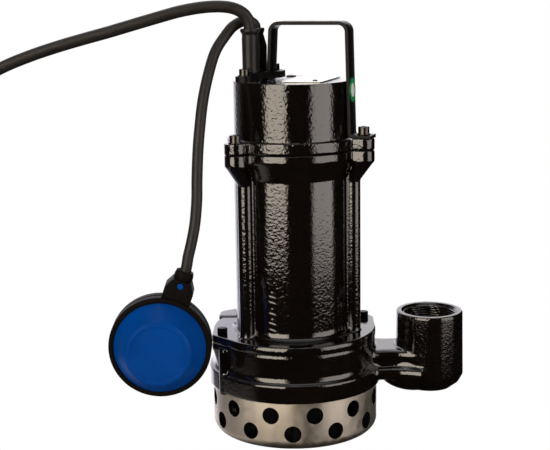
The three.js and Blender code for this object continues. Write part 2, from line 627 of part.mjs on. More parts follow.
const POWER_CABLE_ROUTE = [
  [-35.6, -3.6, 359], [-36.2, -3.8, 364.3], [-39.2, -4.2, 370], [-44.3, -4.6, 374], [-51.1, -5, 376.6],
  [-57.6, -5.4, 377.6], [-65.2, -6, 377.9], [-77.9, -7, 377.1], [-95, -9, 374.3], [-115.6, -11, 369],
  [-137.8, -12.5, 362.9], [-156.6, -14, 357.7], [-175.3, -15, 352.9], [-197.5, -17, 346.9],
  [-223.4, -18.5, 338.8], [-249.1, -21, 328.6], [-273, -25, 315], [-295, -31, 297], [-312, -38, 275],
  [-325, -45, 248], [-333, -51, 216], [-338, -55, 182], [-342, -58, 148], [-345, -60, 116],
  [-349, -61.5, 86], [-355, -62.3, 62], [-361, -62.5, 50.5],
];
const FLOAT_CABLE_ROUTE = [
  [-31, 14.1, 359.2], [-31.05, 14.1, 360.2], [-32.1, 13.9, 362], [-34.8, 13.1, 364], [-39.2, 11, 365],
  [-45, 8, 363.4], [-50.8, 5, 359.8], [-56.5, 1, 353.2], [-65, -7, 340.6], [-70.9, -18, 323],
  [-76, -29, 300.2], [-78.6, -37, 279.8], [-80.5, -43, 259.3], [-81.7, -49, 234.5], [-82.1, -52.5, 217.9],
  [-84.2, -56, 197.1], [-87.4, -59.1, 181.5], [-90.2, -60.8, 170.5],
];
const POWER_CABLE_TAIL_ROUTE = [
  [-443, 30, 5.2], [-445, 46, 5.2], [-443.5, 62, 5.6], [-437, 80, 7.4], [-426, 94, 10.6], [-412, 103, 14.6],
  [-400, 106, 17.6], [-388, 106, 18.8],
];

// ---- Assembly -----------------------------------------------------------------------------------

const pump = new THREE.Group();

function add(parent, name, body, finish, place = {}) {
  const mesh = new THREE.Mesh(geometryOf(body), finish);
  mesh.name = name;
  mesh.position.set(place.x ?? 0, place.y ?? 0, place.z ?? 0);
  parent.add(mesh);
  return mesh;
}

// Castings and strainer.
add(pump, "motor_cover", motorCover(), MATERIALS.paint);
add(pump, "stator_housing", statorHousing(), MATERIALS.paint);
add(pump, "volute_casing", voluteCasing(), MATERIALS.paint);
add(pump, "strainer_basket", strainerBasket(), MATERIALS.strainerSteel);
add(pump, "suction_plate", suctionPlate(), MATERIALS.castIron);
add(pump, "seal_plate", sealPlate(), MATERIALS.castIron);
const SEALS = { cover_o_ring: COVER_SEAL, casing_o_ring: CASING_SEAL };
Object.entries(SEALS).forEach(([name, { radius, z, thickness }]) => {
  add(pump, name, solid(new THREE.TorusGeometry(radius, thickness, 4, ROUND)), MATERIALS.rubber, { z });
});

// Handle and the clamp plate share the handle's turned plane.
const handlePlane = new THREE.Group();
handlePlane.rotation.z = HANDLE_TURN;
pump.add(handlePlane);
add(handlePlane, "handle", handle(), MATERIALS.paint);
add(handlePlane, "cable_clamp_plate", cableClampPlate(), MATERIALS.paint);
const [plateX, plateY] = [NAME_PLATE.width / 2, NAME_PLATE.depth / 2];
const plateOutline = roundedOutline([
  [-plateX, -plateY, 2], [plateX, -plateY, 2], [plateX, plateY, 2], [-plateX, plateY, 2],
], 2);
const namePlate = extruded(plateOutline, 0, NAME_PLATE.thickness);
const namePlatePlace = { x: NAME_PLATE.along, y: NAME_PLATE.across, z: COVER.top + GAP };
add(handlePlane, "name_plate", namePlate, MATERIALS.plate, namePlatePlace);

const powerSleeve = { base: GLAND_BASES.power, shoulder: 350, waist: 6.9, lip: 8.4 };
const floatSleeve = { base: GLAND_BASES.float, shoulder: 343, waist: 7, lip: 8 };
const powerGland = glandSleeve(powerSleeve, POWER_CABLE.radius);
const floatGland = glandSleeve(floatSleeve, FLOAT_CABLE.radius);
add(pump, "power_cable_gland", powerGland, MATERIALS.gland, CABLE_HOLES.power);
add(pump, "float_cable_gland", floatGland, MATERIALS.gland, CABLE_HOLES.float);
Object.entries(CLAMP_SCREWS).forEach(([side, { x, y }]) => {
  const place = { x, y, z: CLAMP_PLATE.top };
  add(pump, `clamp_screw_${side}`, capScrew(4.4, 5.2, CLAMP_SCREW_SHANK, 11), MATERIALS.screwSteel, place);
});

// Screws of the cover, the casing and the strainer.
COVER_LUG_ANGLES.forEach((angle, i) => {
  const underHandle = i === 0 ? HANDLE.thickness + GAP : 0;
  const place = { ...polar(angle, COVER_LUG_DISTANCE), z: COVER.flangeTop + underHandle };
  add(pump, `cover_screw_${i + 1}`, capScrew(4.9, 6, COVER_SCREW_SHANK, 22), MATERIALS.screwSteel, place);
});
BASE_EAR_ANGLES.forEach((angle, i) => {
  const place = { ...polar(angle, BASE_EAR_DISTANCE), z: BASE_FLANGE.top };
  add(pump, `casing_screw_${i + 1}`, hexScrew(4.6, 5.5, CASING_SCREW_SHANK, 20), MATERIALS.paint, place);
});
STRAINER_SCREW_ANGLES.forEach((angle, i) => {
  const place = polar(angle, STRAINER_SCREW_DISTANCE);
  const screw = join(disc(4.2, 0.6, 3.9, 6), disc(CASING_SCREW_SHANK, 3, 58, SMALL_ROUND));
  const spacer = ring(5, CASING_SCREW_SHANK + 0.4, 5.8, 45.1, SMALL_ROUND);
  add(pump, `strainer_screw_${i + 1}`, screw, MATERIALS.shaftSteel, place);
  add(pump, `strainer_spacer_${i + 1}`, spacer, MATERIALS.shaftSteel, place);
});
const oilPlugPlace = { ...polar(OIL_BOSS.angle, OIL_BOSS.distance), z: OIL_BOSS.top };
const oilPlug = capScrew(5.6, 0.5, OIL_PLUG_SHANK, OIL_PLUG_DEPTH);
add(pump, "oil_plug", oilPlug, MATERIALS.screwSteel, oilPlugPlace);

// Motor, fixed side.
add(pump, "stator_core", ring(CORE.outer, CORE.bore, CORE.bottom, CORE.top), MATERIALS.coreSteel);
add(pump, "upper_winding", endWinding(CORE.top + GAP, 232), MATERIALS.copper);
add(pump, "lower_winding", endWinding(133, CORE.bottom - GAP), MATERIALS.copper);
add(pump, "upper_bearing_bracket", upperBearingBracket(), MATERIALS.castIron);
add(pump, "capacitor", disc(11.2, 243, 292, 16, 29, 16.7), MATERIALS.plastic);
add(pump, "terminal_block", box(16, 26, 14, -33, 0, 250), MATERIALS.ceramic);
const upperBearing = bearingPieces(UPPER_BEARING);
const lowerBearing = bearingPieces(LOWER_BEARING);
add(pump, "upper_bearing_outer_ring", upperBearing.outerRing, MATERIALS.shaftSteel);
add(pump, "lower_bearing_outer_ring", lowerBearing.outerRing, MATERIALS.shaftSteel);
add(pump, "lip_seal", ring(OIL.sealHole - GAP, SHAFT_RADIUS + GAP, 110.3, 114.7), MATERIALS.rubber);
add(pump, "seal_seat", ring(15, SHAFT_RADIUS + GAP, 85.3, 88.2), MATERIALS.ceramic);

// Motor, turning side.
add(pump, "shaft", shaft(), MATERIALS.shaftSteel);
add(pump, "rotor_core", ring(27.9, 9.8, 151, 213.7), MATERIALS.coreSteel);
add(pump, "upper_bearing_inner_ring", upperBearing.innerRing, MATERIALS.shaftSteel);
add(pump, "lower_bearing_inner_ring", lowerBearing.innerRing, MATERIALS.shaftSteel);
add(pump, "seal_head", ring(13.5, SHAFT_RADIUS + GAP, 88.5, 99), MATERIALS.shaftSteel);
add(pump, "impeller", impeller(), MATERIALS.castIron);
add(pump, "impeller_nut", cut(disc(8, 59.5, 66, 6), disc(5 + GAP, 59, 67, SMALL_ROUND)), MATERIALS.shaftSteel);

// The float hangs from the end of its cable, leaning out and slightly back.
const float = new THREE.Group();
float.position.set(-93.1, -62, 157.8);
float.rotation.set(radians(1.5), radians(19.6), 0);
pump.add(float);
const floatCentre = { z: -FLOAT.neckLength };
add(float, "float_front_shell", floatShell(), MATERIALS.floatBlue, floatCentre).rotation.x = Math.PI / 2;
add(float, "float_rear_shell", floatShell(), MATERIALS.floatBlue, floatCentre).rotation.x = -Math.PI / 2;
add(float, "float_rim_seal", floatRimSeal(), MATERIALS.floatBlack, floatCentre).rotation.x = Math.PI / 2;
add(float, "float_neck", floatNeck(), MATERIALS.floatBlack);
add(float, "float_collar", ring(8, FLOAT_CABLE.radius + GAP, -6.2, 1.2, SMALL_ROUND), MATERIALS.floatBlack);
const pinBody = new THREE.CylinderGeometry(2.6, 2.6, 4.5, SMALL_ROUND);
const pinPlace = { y: 1.3 - FLOAT_NECK.halfDepth, z: FLOAT_NECK.pin };
add(float, "float_pin", solid(pinBody), MATERIALS.floatBlue, pinPlace);
add(float, "float_ball_channel", ring(8, 6.6, -95, -57, SMALL_ROUND), MATERIALS.plastic);
add(float, "float_ball", solid(new THREE.SphereGeometry(6, 12, 8)), MATERIALS.shaftSteel, { z: -88 });
add(float, "float_microswitch", box(20, 10, 9, 0, 0, -51), MATERIALS.plastic);

// Cords, the coil and the plug.
add(pump, "power_cable", cord(POWER_CABLE_ROUTE, POWER_CABLE, 48), MATERIALS.cable);
const { radius: coilRadius, halfWidth, height: coilHeight } = COIL;
const coil = turned(roundedOutline([
  [coilRadius - halfWidth, 0, 3], [coilRadius + halfWidth, 0, 3],
  [coilRadius + halfWidth, coilHeight, 5], [coilRadius - halfWidth, coilHeight, 5],
], 1).map(({ x, y }) => [x, y]), 28);
add(pump, "power_cable_coil", coil, MATERIALS.cable, { x: COIL.x, y: COIL.y });
add(pump, "power_cable_tail", cord(POWER_CABLE_TAIL_ROUTE, POWER_CABLE, 10), MATERIALS.cable);
add(pump, "float_cable", cord(FLOAT_CABLE_ROUTE, FLOAT_CABLE, 26), MATERIALS.cable);

// The plug lies on the floor on its round front part.
const plug = new THREE.Group();
plug.position.set(-387.4, 106, PLUG.radius + 0.2);
plug.rotation.y = Math.PI / 2;
pump.add(plug);
const plugBody = turned([
  [0, 0], [7, 0], [9, 22], [13, 30], [PLUG.radius, 36], [PLUG.radius, PLUG.length], [0, PLUG.length],
], 24);
add(plug, "plug_body", plugBody, MATERIALS.rubber);
[-1, 1].forEach((side, i) => {
  const pin = disc(2.4, PLUG.length + GAP, PLUG.length + 19, SMALL_ROUND);
  add(plug, `plug_pin_${i + 1}`, pin, MATERIALS.shaftSteel, { y: side * PLUG.pinSpacing / 2 });
});

export default pump;
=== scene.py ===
"""Submersible sump pump with a float switch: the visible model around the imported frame.

Bodies are shaped in millimetres, as in the part's source, and put into the frame in metres.
"""

import math
import random

import bmesh
import bpy
import numpy as np
from mathutils import Matrix, Vector


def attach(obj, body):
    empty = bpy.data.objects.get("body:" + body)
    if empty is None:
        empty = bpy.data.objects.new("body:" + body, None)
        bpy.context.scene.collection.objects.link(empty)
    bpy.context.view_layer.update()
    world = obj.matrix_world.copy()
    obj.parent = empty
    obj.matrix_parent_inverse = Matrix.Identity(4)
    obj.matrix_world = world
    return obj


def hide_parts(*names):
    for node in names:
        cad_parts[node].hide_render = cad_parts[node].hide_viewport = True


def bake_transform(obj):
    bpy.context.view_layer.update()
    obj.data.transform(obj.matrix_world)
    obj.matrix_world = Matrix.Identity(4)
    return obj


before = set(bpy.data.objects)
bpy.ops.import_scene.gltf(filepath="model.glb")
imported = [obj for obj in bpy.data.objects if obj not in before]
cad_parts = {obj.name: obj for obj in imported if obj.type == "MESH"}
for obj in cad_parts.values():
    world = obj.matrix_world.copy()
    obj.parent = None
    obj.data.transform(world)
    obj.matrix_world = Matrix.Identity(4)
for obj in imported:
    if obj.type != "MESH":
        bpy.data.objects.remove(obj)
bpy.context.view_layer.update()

MM = 0.001

# ---- Driving dimensions, in millimetres ----

COVER = {"radius": 51.5, "bottom": 254.8, "top": 313.9, "flange_radius": 57.6, "flange_top": 264.2}
COVER_INSIDE = {"radius": 46.5, "roof": 8}
HOUSING = {
    "radius": 52.2, "bottom": 88.5, "top": 254.5, "flange_radius": 57.6, "lug_bottom": 244, "bore": 47.3,
}
CONE = {"bottom": 232, "top": 247}
MOTOR_FLOOR = 127.9
OIL_CHAMBER = {"radius": 36, "top": 110}
BEARING_SEAT = {"radius": 20.3, "bottom": 115, "shaft_hole": 13}
BASE_FLANGE = {"radius": 73.5, "bottom": 85.1, "top": 92.5, "pad_top": 93.8, "pad_front": 31}
VOLUTE = {
    "top": 88.2, "spigot": 67, "radius": 73, "shoulder": 84.8, "skirt": 77.2, "skirt_top": 60.4,
    "bottom": 43.4,
}
CHAMBER = {"radius": 56, "bottom": 50, "top": 80}
SEAL_PLATE_SEAT = {"bore": 50, "radius": 54.3, "bottom": 82.3}
STRAINER = {"radius": 74.1, "top": 49.7, "wall": 1.2, "fillet": 8.7, "hole": 7.5}
STRAINER_CUP = {"radius": 7, "hollow": 5.8, "top": 5.4}
# The height of each row of holes, and the angle by which it is turned from the front.
STRAINER_ROWS = ((15.5, -2.7), (31.5, 12.3))
OUTLET = {"x": 122.1, "radius": 29.9, "rim": 105.1, "thread": 23.9, "bore": 22.2, "bottom": 31}
ELBOW = {"size": (35, 27, 22.5), "centre": (109, 0, 53)}
NECK = {
    "half_width": 24, "foot_half_width": 28.5, "flare": 7, "bottom": 47.5, "ledge": 58.5, "top": 73.5,
    "start": 60, "length": 52,
}
HANDLE = {
    "width": 18, "thickness": 3, "top": 364.4, "right_foot": 54.5, "right_top": 52,
    "left_foot": -18.6, "left_top": -16.1, "end": 73.5,
}
CLAMP_PLATE = {"bottom": 314.2, "top": 319, "bridge_bottom": 315.6, "bridge_top": 321.2, "bridge_start": -26}
NAME_PLATE = {
    "width": 37.5, "depth": 59, "thickness": 0.6, "along": 16.7, "across": 3.5, "rivet": (11.6, -25.5),
}
COVER_STUD = {"along": -12.1, "across": 36.1}
GLAND_SLEEVE = {"neck": 353.5, "lip": 356.4, "top": 358.6}
FLOAT = {
    "radius": 44, "face": 39.5, "plateau": 27, "half_band": 9.6, "half_thickness": 28.5, "neck_length": 68,
}
FLOAT_NECK = {
    "half_width": 12.5, "half_depth": 10, "bottom": -32, "chamfer_bottom": -14.5, "top_half_width": 8,
    "top": -6.5, "pin": -10.8,
}
POWER_CABLE_RADIUS = 5.2
FLOAT_CABLE_RADIUS = 4.75
COIL = {"x": -362, "y": 0, "radius": 62.5}
PLUG = {"x": -387.4, "y": 106, "radius": 18.6, "length": 58}

HANDLE_TURN = math.radians(-19)  # the handle's plane, about the pump's axis
TO_HANDLE_PLANE = Matrix.Rotation(HANDLE_TURN, 4, "Z")
QUARTER_TURN_X, QUARTER_TURN_Y = (Matrix.Rotation(math.pi / 2, 4, axis) for axis in "XY")
COVER_LUGS = {"angles": (-19, 101, 221), "distance": 65, "radius": 9.5}
COLUMN = {"distance": 55, "radius": 6.8}
BASE_EARS = {"angles": (21, 201), "distance": 68.8, "radius": 9.5}
STRAINER_SCREWS = {"angles": (30, 150, 270), "distance": 61}
OIL_BOSS = {"angle": 120, "distance": 63, "radius": 9, "top": 93.8}
FLANGE_PAD = {"angle": 146, "distance": 68, "radius": 9.5}
VOLUTE_RIB = {"angle": 212, "distance": 73.5, "radius": 5}
CABLE_HOLES = {"power": (-35.6, -3.6), "float": (-31, 14.1)}
GLAND_BASES = {"power": 7.2, "float": 10}
CLAMP_SCREWS = {"front": (-40.8, -20.5), "rear": (-23.9, 30.4)}
LARGE_SCREW_HOLE, SMALL_SCREW_HOLE, GLAND_HOLE = 3.3, 2.8, 6.5

# Where the float turns, and how it leans at rest.
FLOAT_HINGE = Vector((-93.1, -62, 157.8))
FLOAT_LEAN = Matrix.Rotation(math.radians(1.5), 4, "X") @ Matrix.Rotation(math.radians(19.6), 4, "Y")
FLOAT_PLACE = Matrix.Translation(FLOAT_HINGE) @ FLOAT_LEAN
FLOAT_CENTRE = FLOAT_PLACE @ Matrix.Translation((0, 0, -FLOAT["neck_length"]))

POWER_CABLE_ROUTE = [
    (-35.6, -3.6, 359), (-36.2, -3.8, 364.3), (-39.2, -4.2, 370), (-44.3, -4.6, 374), (-51.1, -5, 376.6),
    (-57.6, -5.4, 377.6), (-65.2, -6, 377.9), (-77.9, -7, 377.1), (-95, -9, 374.3), (-115.6, -11, 369),
    (-137.8, -12.5, 362.9), (-156.6, -14, 357.7), (-175.3, -15, 352.9), (-197.5, -17, 346.9),
    (-223.4, -18.5, 338.8), (-249.1, -21, 328.6), (-273, -25, 315), (-295, -31, 297), (-312, -38, 275),
    (-325, -45, 248), (-333, -51, 216), (-338, -55, 182), (-342, -58, 148), (-345, -60, 116),
    (-349, -61.5, 86), (-355, -62.3, 62), (-361, -62.5, 50.5),
]
POWER_CABLE_TAIL_ROUTE = [
    (-443, 30, 5.2), (-445, 46, 5.2), (-443.5, 62, 5.6), (-437, 80, 7.4), (-426, 94, 10.6),
    (-412, 103, 14.6), (-400, 106, 17.6), (-388, 106, 18.8),
]
FLOAT_CABLE_ROUTE = [
    (-31, 14.1, 359.2), (-31.05, 14.1, 360.2), (-32.1, 13.9, 362), (-34.8, 13.1, 364), (-39.2, 11, 365),
    (-45, 8, 363.4), (-50.8, 5, 359.8), (-56.5, 1, 353.2), (-65, -7, 340.6), (-70.9, -18, 323),
    (-76, -29, 300.2), (-78.6, -37, 279.8), (-80.5, -43, 259.3), (-81.7, -49, 234.5),
    (-82.1, -52.5, 217.9), (-84.2, -56, 197.1), (-87.4, -59.1, 181.5), (-90.2, -60.8, 170.5),
]

# ---- Shapes ----


def polar(angle, distance):
    """The point at an angle in degrees and a distance from the pump's axis."""
    turn = math.radians(angle)
    return distance * math.cos(turn), distance * math.sin(turn)


def in_handle_plane(x, y):
    """A point of the pump, in the turned plane of the handle."""
    point = Matrix.Rotation(-HANDLE_TURN, 2) @ Vector((x, y))
    return point.x, point.y


def rounded(corners, closed=True, steps=6):
    """The points of an outline whose corners (x, y, radius) are rounded by arcs."""
    points = []
    count = len(corners)
    for i, (x, y, radius) in enumerate(corners):
        corner = Vector((x, y))
        if radius == 0 or (not closed and i in (0, count - 1)):
            points.append((x, y))
            continue
        before = (Vector(corners[i - 1][:2]) - corner).normalized()
        after = (Vector(corners[(i + 1) % count][:2]) - corner).normalized()
        half = math.acos(max(-1, min(1, before.dot(after)))) / 2
        centre = corner + (before + after).normalized() * (radius / math.sin(half))
        start = corner + before * (radius / math.tan(half)) - centre
        end = corner + after * (radius / math.tan(half)) - centre
        first = math.atan2(start.y, start.x)
        sweep = math.atan2(end.y, end.x) - first
        sweep = math.atan2(math.sin(sweep), math.cos(sweep))
        for k in range(steps + 1):
            turn = first + sweep * k / steps
            points.append((centre.x + radius * math.cos(turn), centre.y + radius * math.sin(turn)))
    return points


def circle(radius, height, centre=(0, 0), sides=48):
    """Points round an upright line."""
    turns = [2 * math.pi * k / sides for k in range(sides)]
    return [(centre[0] + radius * math.cos(t), centre[1] + radius * math.sin(t), height) for t in turns]


def skinned(rings, ends=True):
    """A body with a skin over rings of points. Its ends get faces, or else they are joined."""
    body = bmesh.new()
    rings = [[body.verts.new(point) for point in ring] for ring in rings]
    pairs = list(zip(rings, rings[1:]))
    if ends:
        body.faces.new(rings[0])
        body.faces.new(rings[-1])
    else:
        pairs.append((rings[-1], rings[0]))
    for low, high in pairs:
        for k in range(len(low)):
            following = (k + 1) % len(low)
            body.faces.new([low[k], low[following], high[following], high[k]])
    bmesh.ops.recalc_face_normals(body, faces=body.faces)
    return body


def turned(profile, sides=96, centre=(0, 0)):
    """A body turned about an upright line, from (radius, height) points that may touch the line."""
    body = bmesh.new()
    rings = []
    for radius, height in profile:
        points = [(*centre, height)] if radius < 1e-6 else circle(radius, height, centre, sides)
        rings.append([body.verts.new(point) for point in points])
    pairs = list(zip(rings, rings[1:]))
    if len(rings[0]) > 1:
        pairs.append((rings[-1], rings[0]))
    for low, high in pairs:
        for k in range(sides):
            places = [(low, k), (low, k + 1), (high, k + 1), (high, k)]
            corners = list(dict.fromkeys(ring[place % len(ring)] for ring, place in places))
            if len(corners) > 2:
                body.faces.new(corners)
    bmesh.ops.recalc_face_normals(body, faces=body.faces)
    return body


def disc(radius, bottom, top, centre=(0, 0), sides=48):
    return turned([(0, bottom), (radius, bottom), (radius, top), (0, top)], sides, centre)


def discs_at(pattern, radius, bottom, top):
    """A disc at each angle of a pattern round the pump's axis."""
    return [disc(radius, bottom, top, polar(angle, pattern["distance"])) for angle in pattern["angles"]]


def prism(outline, bottom, top):
    """An upright body on a flat outline."""
    return skinned([[(x, y, height) for x, y in outline] for height in (bottom, top)])


def slanted_bar(low, high):
    """A round bar between two (x, y, height, radius) ends."""
    return skinned([circle(radius, height, (x, y)) for x, y, height, radius in (low, high)])


def block(width, depth, height, centre):
    body = bmesh.new()
    bmesh.ops.create_cube(body, size=1)
    bmesh.ops.scale(body, vec=(width, depth, height), verts=body.verts)
    bmesh.ops.translate(body, vec=centre, verts=body.verts)
    return body


def ball(size, centre, segments=48):
    body = bmesh.new()
    bmesh.ops.create_uvsphere(body, u_segments=segments, v_segments=segments // 2, radius=1)
    bmesh.ops.scale(body, vec=size, verts=body.verts)
    bmesh.ops.translate(body, vec=centre, verts=body.verts)
    return body


def placed(body, matrix):
    bmesh.ops.transform(body, matrix=matrix, verts=body.verts)
    return body


def lug(angle, distance, radius, bottom, top):
    """A straight-sided lug with a round end, as two overlapping bodies."""
    arm = block(distance, 2 * radius, top - bottom, (distance / 2, 0, (bottom + top) / 2))
    placed(arm, Matrix.Rotation(math.radians(angle), 4, "Z"))
    return [arm, disc(radius, bottom, top, polar(angle, distance))]


def eared_outline(radius, steps=240):
    """A flange outline with an ear at each angle. Its sides are tangent to the flange and the ear."""
    distance, ear_radius = BASE_EARS["distance"], BASE_EARS["radius"]
    spread = math.acos((radius - ear_radius) / distance)
    tip_spread = math.atan2(ear_radius * math.sin(spread), distance + ear_radius * math.cos(spread))
    points = []
    for k in range(steps):
        angle = 2 * math.pi * k / steps
        turns = [angle - math.radians(ear) for ear in BASE_EARS["angles"]]
        away = min(abs(math.atan2(math.sin(turn), math.cos(turn))) for turn in turns)
        reach = radius
        if away < tip_spread:
            side = distance * math.sin(away)
            reach = distance * math.cos(away) + math.sqrt(ear_radius**2 - side**2)
        elif away < spread:
            reach = radius / math.cos(spread - away)
        points.append((reach * math.cos(angle), reach * math.sin(angle)))
    return points


def waisted(start, length, levels, steps=24):
    """A body along X that widens towards both ends, from (height, half width) levels at its waist."""
    rings = []
    for height, half_width in levels:
        sides = []
        for k in range(steps + 1):
            share = 2 * k / steps - 1
            sides.append((start + length * k / steps, half_width + NECK["flare"] * share * share))
        rings.append([(x, -y, height) for x, y in sides] + [(x, y, height) for x, y in reversed(sides)])
    return skinned(rings)


def threaded_plug(radius, depth, pitch, bottom, top, centre, sides=96):
    """A plug with a helical thread on its side, to cut a threaded hole with."""
    rows = int((top - bottom) / pitch * 6)
    rings = []
    for j in range(rows + 1):
        height = bottom + (top - bottom) * j / rows
        ring = []
        for k in range(sides):
            phase = (height / pitch - k / sides) % 1
            crest = 1 - abs(2 * phase - 1)
            reach = radius - depth + depth * min(1, max(0, 1.25 * crest - 0.1))
            turn = 2 * math.pi * k / sides
            ring.append((centre[0] + reach * math.cos(turn), centre[1] + reach * math.sin(turn), height))
        rings.append(ring)
    return skinned(rings)


# ---- Objects ----


def linked(name, data):
    obj = bpy.data.objects.new(name, data)
    bpy.context.scene.collection.objects.link(obj)
    return obj


def object_of(name, bodies):
    """One object from one or more bodies, still in millimetres."""
    whole = bmesh.new()
    for body in bodies:
        piece = bpy.data.meshes.new(name + "_piece")
        body.to_mesh(piece)
        whole.from_mesh(piece)
        bpy.data.meshes.remove(piece)
        body.free()
    mesh = bpy.data.meshes.new(name)
    whole.to_mesh(mesh)
    whole.free()
    return linked(name, mesh)


def modified(obj, modifiers):
    """Applies modifiers, each given as its type and its settings."""
    for kind, settings in modifiers.items():
        modifier = obj.modifiers.new(kind.lower(), kind)
        for name, value in settings.items():
            setattr(modifier, name, value)
    depsgraph = bpy.context.evaluated_depsgraph_get()
    mesh = bpy.data.meshes.new_from_object(obj.evaluated_get(depsgraph))
    old = obj.data
    obj.modifiers.clear()
    obj.data = mesh
    bpy.data.meshes.remove(old)
    mesh.name = obj.name
    return obj


def cut(obj, bodies, operation="DIFFERENCE"):
    """Cuts bodies that don't overlap each other out of an object, or joins them to it."""
    tool = object_of(obj.name + "_tool", bodies)
    modified(obj, {"BOOLEAN": {"operation": operation, "solver": "MANIFOLD", "object": tool}})
    bpy.data.objects.remove(tool)


def bevel(obj, width, segments=3, angle=35):
    settings = {"limit_method": "ANGLE", "angle_limit": math.radians(angle)}
    modified(obj, {"BEVEL": {"width": width, "segments": segments, **settings}})


def cast(name, bodies, voxel, smoothing):
    """Overlapping bodies run into one casting, with soft corners and fillets."""
    return modified(object_of(name, bodies), {
        "REMESH": {"mode": "VOXEL", "voxel_size": voxel},
        "SMOOTH": {"factor": 0.5, "iterations": smoothing},
    })


def settle(obj, cylinders, planes, tolerance=0.45):
    """Moves the vertices close to each true surface onto it, so that reflections run straight.

    The cylinders stand on the pump's axis, as (radius, bottom, top). The planes are heights.
    """
    co = np.zeros(len(obj.data.vertices) * 3)
    obj.data.vertices.foreach_get("co", co)
    co = co.reshape(-1, 3)
    for radius, bottom, top in cylinders:
        reach = np.hypot(co[:, 0], co[:, 1])
        away = radius - reach
        near = (np.abs(away) < tolerance) & (co[:, 2] > bottom) & (co[:, 2] < top)
        pull = 1 - (np.abs(away[near]) / tolerance) ** 4
        co[near, :2] *= (1 + pull * away[near] / reach[near])[:, None]
    for height in planes:
        away = height - co[:, 2]
        near = np.abs(away) < tolerance
        co[near, 2] += away[near] * (1 - (np.abs(away[near]) / tolerance) ** 4)
    obj.data.vertices.foreach_set("co", co.ravel())
    obj.data.update()


def to_metres(obj, sharp):
    """Scales a mesh down to metres, and shades it smooth but for edges over an angle."""
    obj.data.transform(Matrix.Scale(MM, 4))
    obj.data.shade_smooth()
    obj.data.set_sharp_from_angle(angle=math.radians(sharp))


def finish_piece(obj, material, body, nodes=(), sharp=35, place=None):
    """Puts a piece into the frame: metres, shading, material, body and the nodes it stands for."""
    if place is not None:
        obj.data.transform(place)
    to_metres(obj, sharp)
    obj.data.materials.clear()
    obj.data.materials.append(material)
    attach(obj, body)
    if nodes:
        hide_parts(*nodes)


# ---- Materials ----


class Graph:
    """The nodes of a material or of the world."""

    def __init__(self, owner):
        owner.use_nodes = True
        self.nodes = owner.node_tree.nodes
        self.links = owner.node_tree.links

    def feed(self, socket, value):
        """Sets a socket, or links another node's output to it."""
        if isinstance(value, bpy.types.NodeSocket):
            self.links.new(value, socket)
        else:
            socket.default_value = value

    def node(self, kind, **inputs):
        node = self.nodes.new("ShaderNode" + kind)
        for name, value in inputs.items():
            self.feed(node.inputs[name], value)
        return node

    def calculate(self, kind, operation, *values):
        """A Math or VectorMath node, with values for its first inputs."""
        node = self.node(kind)
        node.operation = operation
        for socket, value in zip(node.inputs, values):
            self.feed(socket, value)
        return node.outputs[0]

    def math(self, operation, first, second):
        return self.calculate("Math", operation, first, second)

    def remap(self, value, low, high, to_low=0.0, to_high=1.0, smooth=False):
        node = self.node("MapRange", Value=value)
        node.interpolation_type = "SMOOTHSTEP" if smooth else "LINEAR"
        for socket, number in zip(node.inputs[1:5], (low, high, to_low, to_high)):
            socket.default_value = number
        return node.outputs["Result"]

    def axis(self, vector, name):
        """One coordinate of a vector."""
        return self.node("SeparateXYZ", Vector=vector).outputs[name]

    def show_to_camera(self, real, seen, output):
        """One shader for the light that falls on the object, and another for what the camera sees."""
        mix = self.node("MixShader", Fac=self.node("LightPath").outputs["Is Camera Ray"])
        self.feed(mix.inputs[1], real)
        self.feed(mix.inputs[2], seen)
        self.feed(output.inputs["Surface"], mix.outputs["Shader"])


class Finish(Graph):
    """A Principled material with helpers for procedural detail."""

    def __init__(self, name, color, roughness, metallic=0.0, specular=0.5):
        self.material = bpy.data.materials.new(name)
        super().__init__(self.material)
        self.material.diffuse_color = (*color, 1)
        self.shader = self.nodes["Principled BSDF"].inputs
        self.shader["Base Color"].default_value = (*color, 1)
        self.shader["Roughness"].default_value = roughness
        self.shader["Metallic"].default_value = metallic
        self.shader["Specular IOR Level"].default_value = specular
        self.coordinates = self.node("TexCoord").outputs["Object"]

    def noise(self, scale, detail=3.0, vector=None):
        vector = vector or self.coordinates
        return self.node("TexNoise", Scale=scale, Detail=detail, Vector=vector).outputs["Fac"]

    def bump(self, height, distance, strength=1.0):
        """Adds relief, in metres, on top of any relief already there."""
        bump = self.node("Bump", Distance=distance, Strength=strength, Height=height)
        normal = self.shader["Normal"]
        if normal.is_linked:
            self.feed(bump.inputs["Normal"], normal.links[0].from_socket)
        self.feed(normal, bump.outputs["Normal"])

    def roughness(self, value, low, high):
        self.feed(self.shader["Roughness"], self.remap(value, 0.3, 0.7, low, high))

    def colors(self, value, first, second):
        """Runs the base colour from one colour to another."""
        ramp = self.node("ValToRGB", Fac=value)
        for element, position, color in zip(ramp.color_ramp.elements, (0.3, 0.7), (first, second)):
            element.position = position
            element.color = (*color, 1)
        self.feed(self.shader["Base Color"], ramp.outputs["Color"])


def scaled(color, factor):
    return tuple(min(1, c * factor) for c in color)


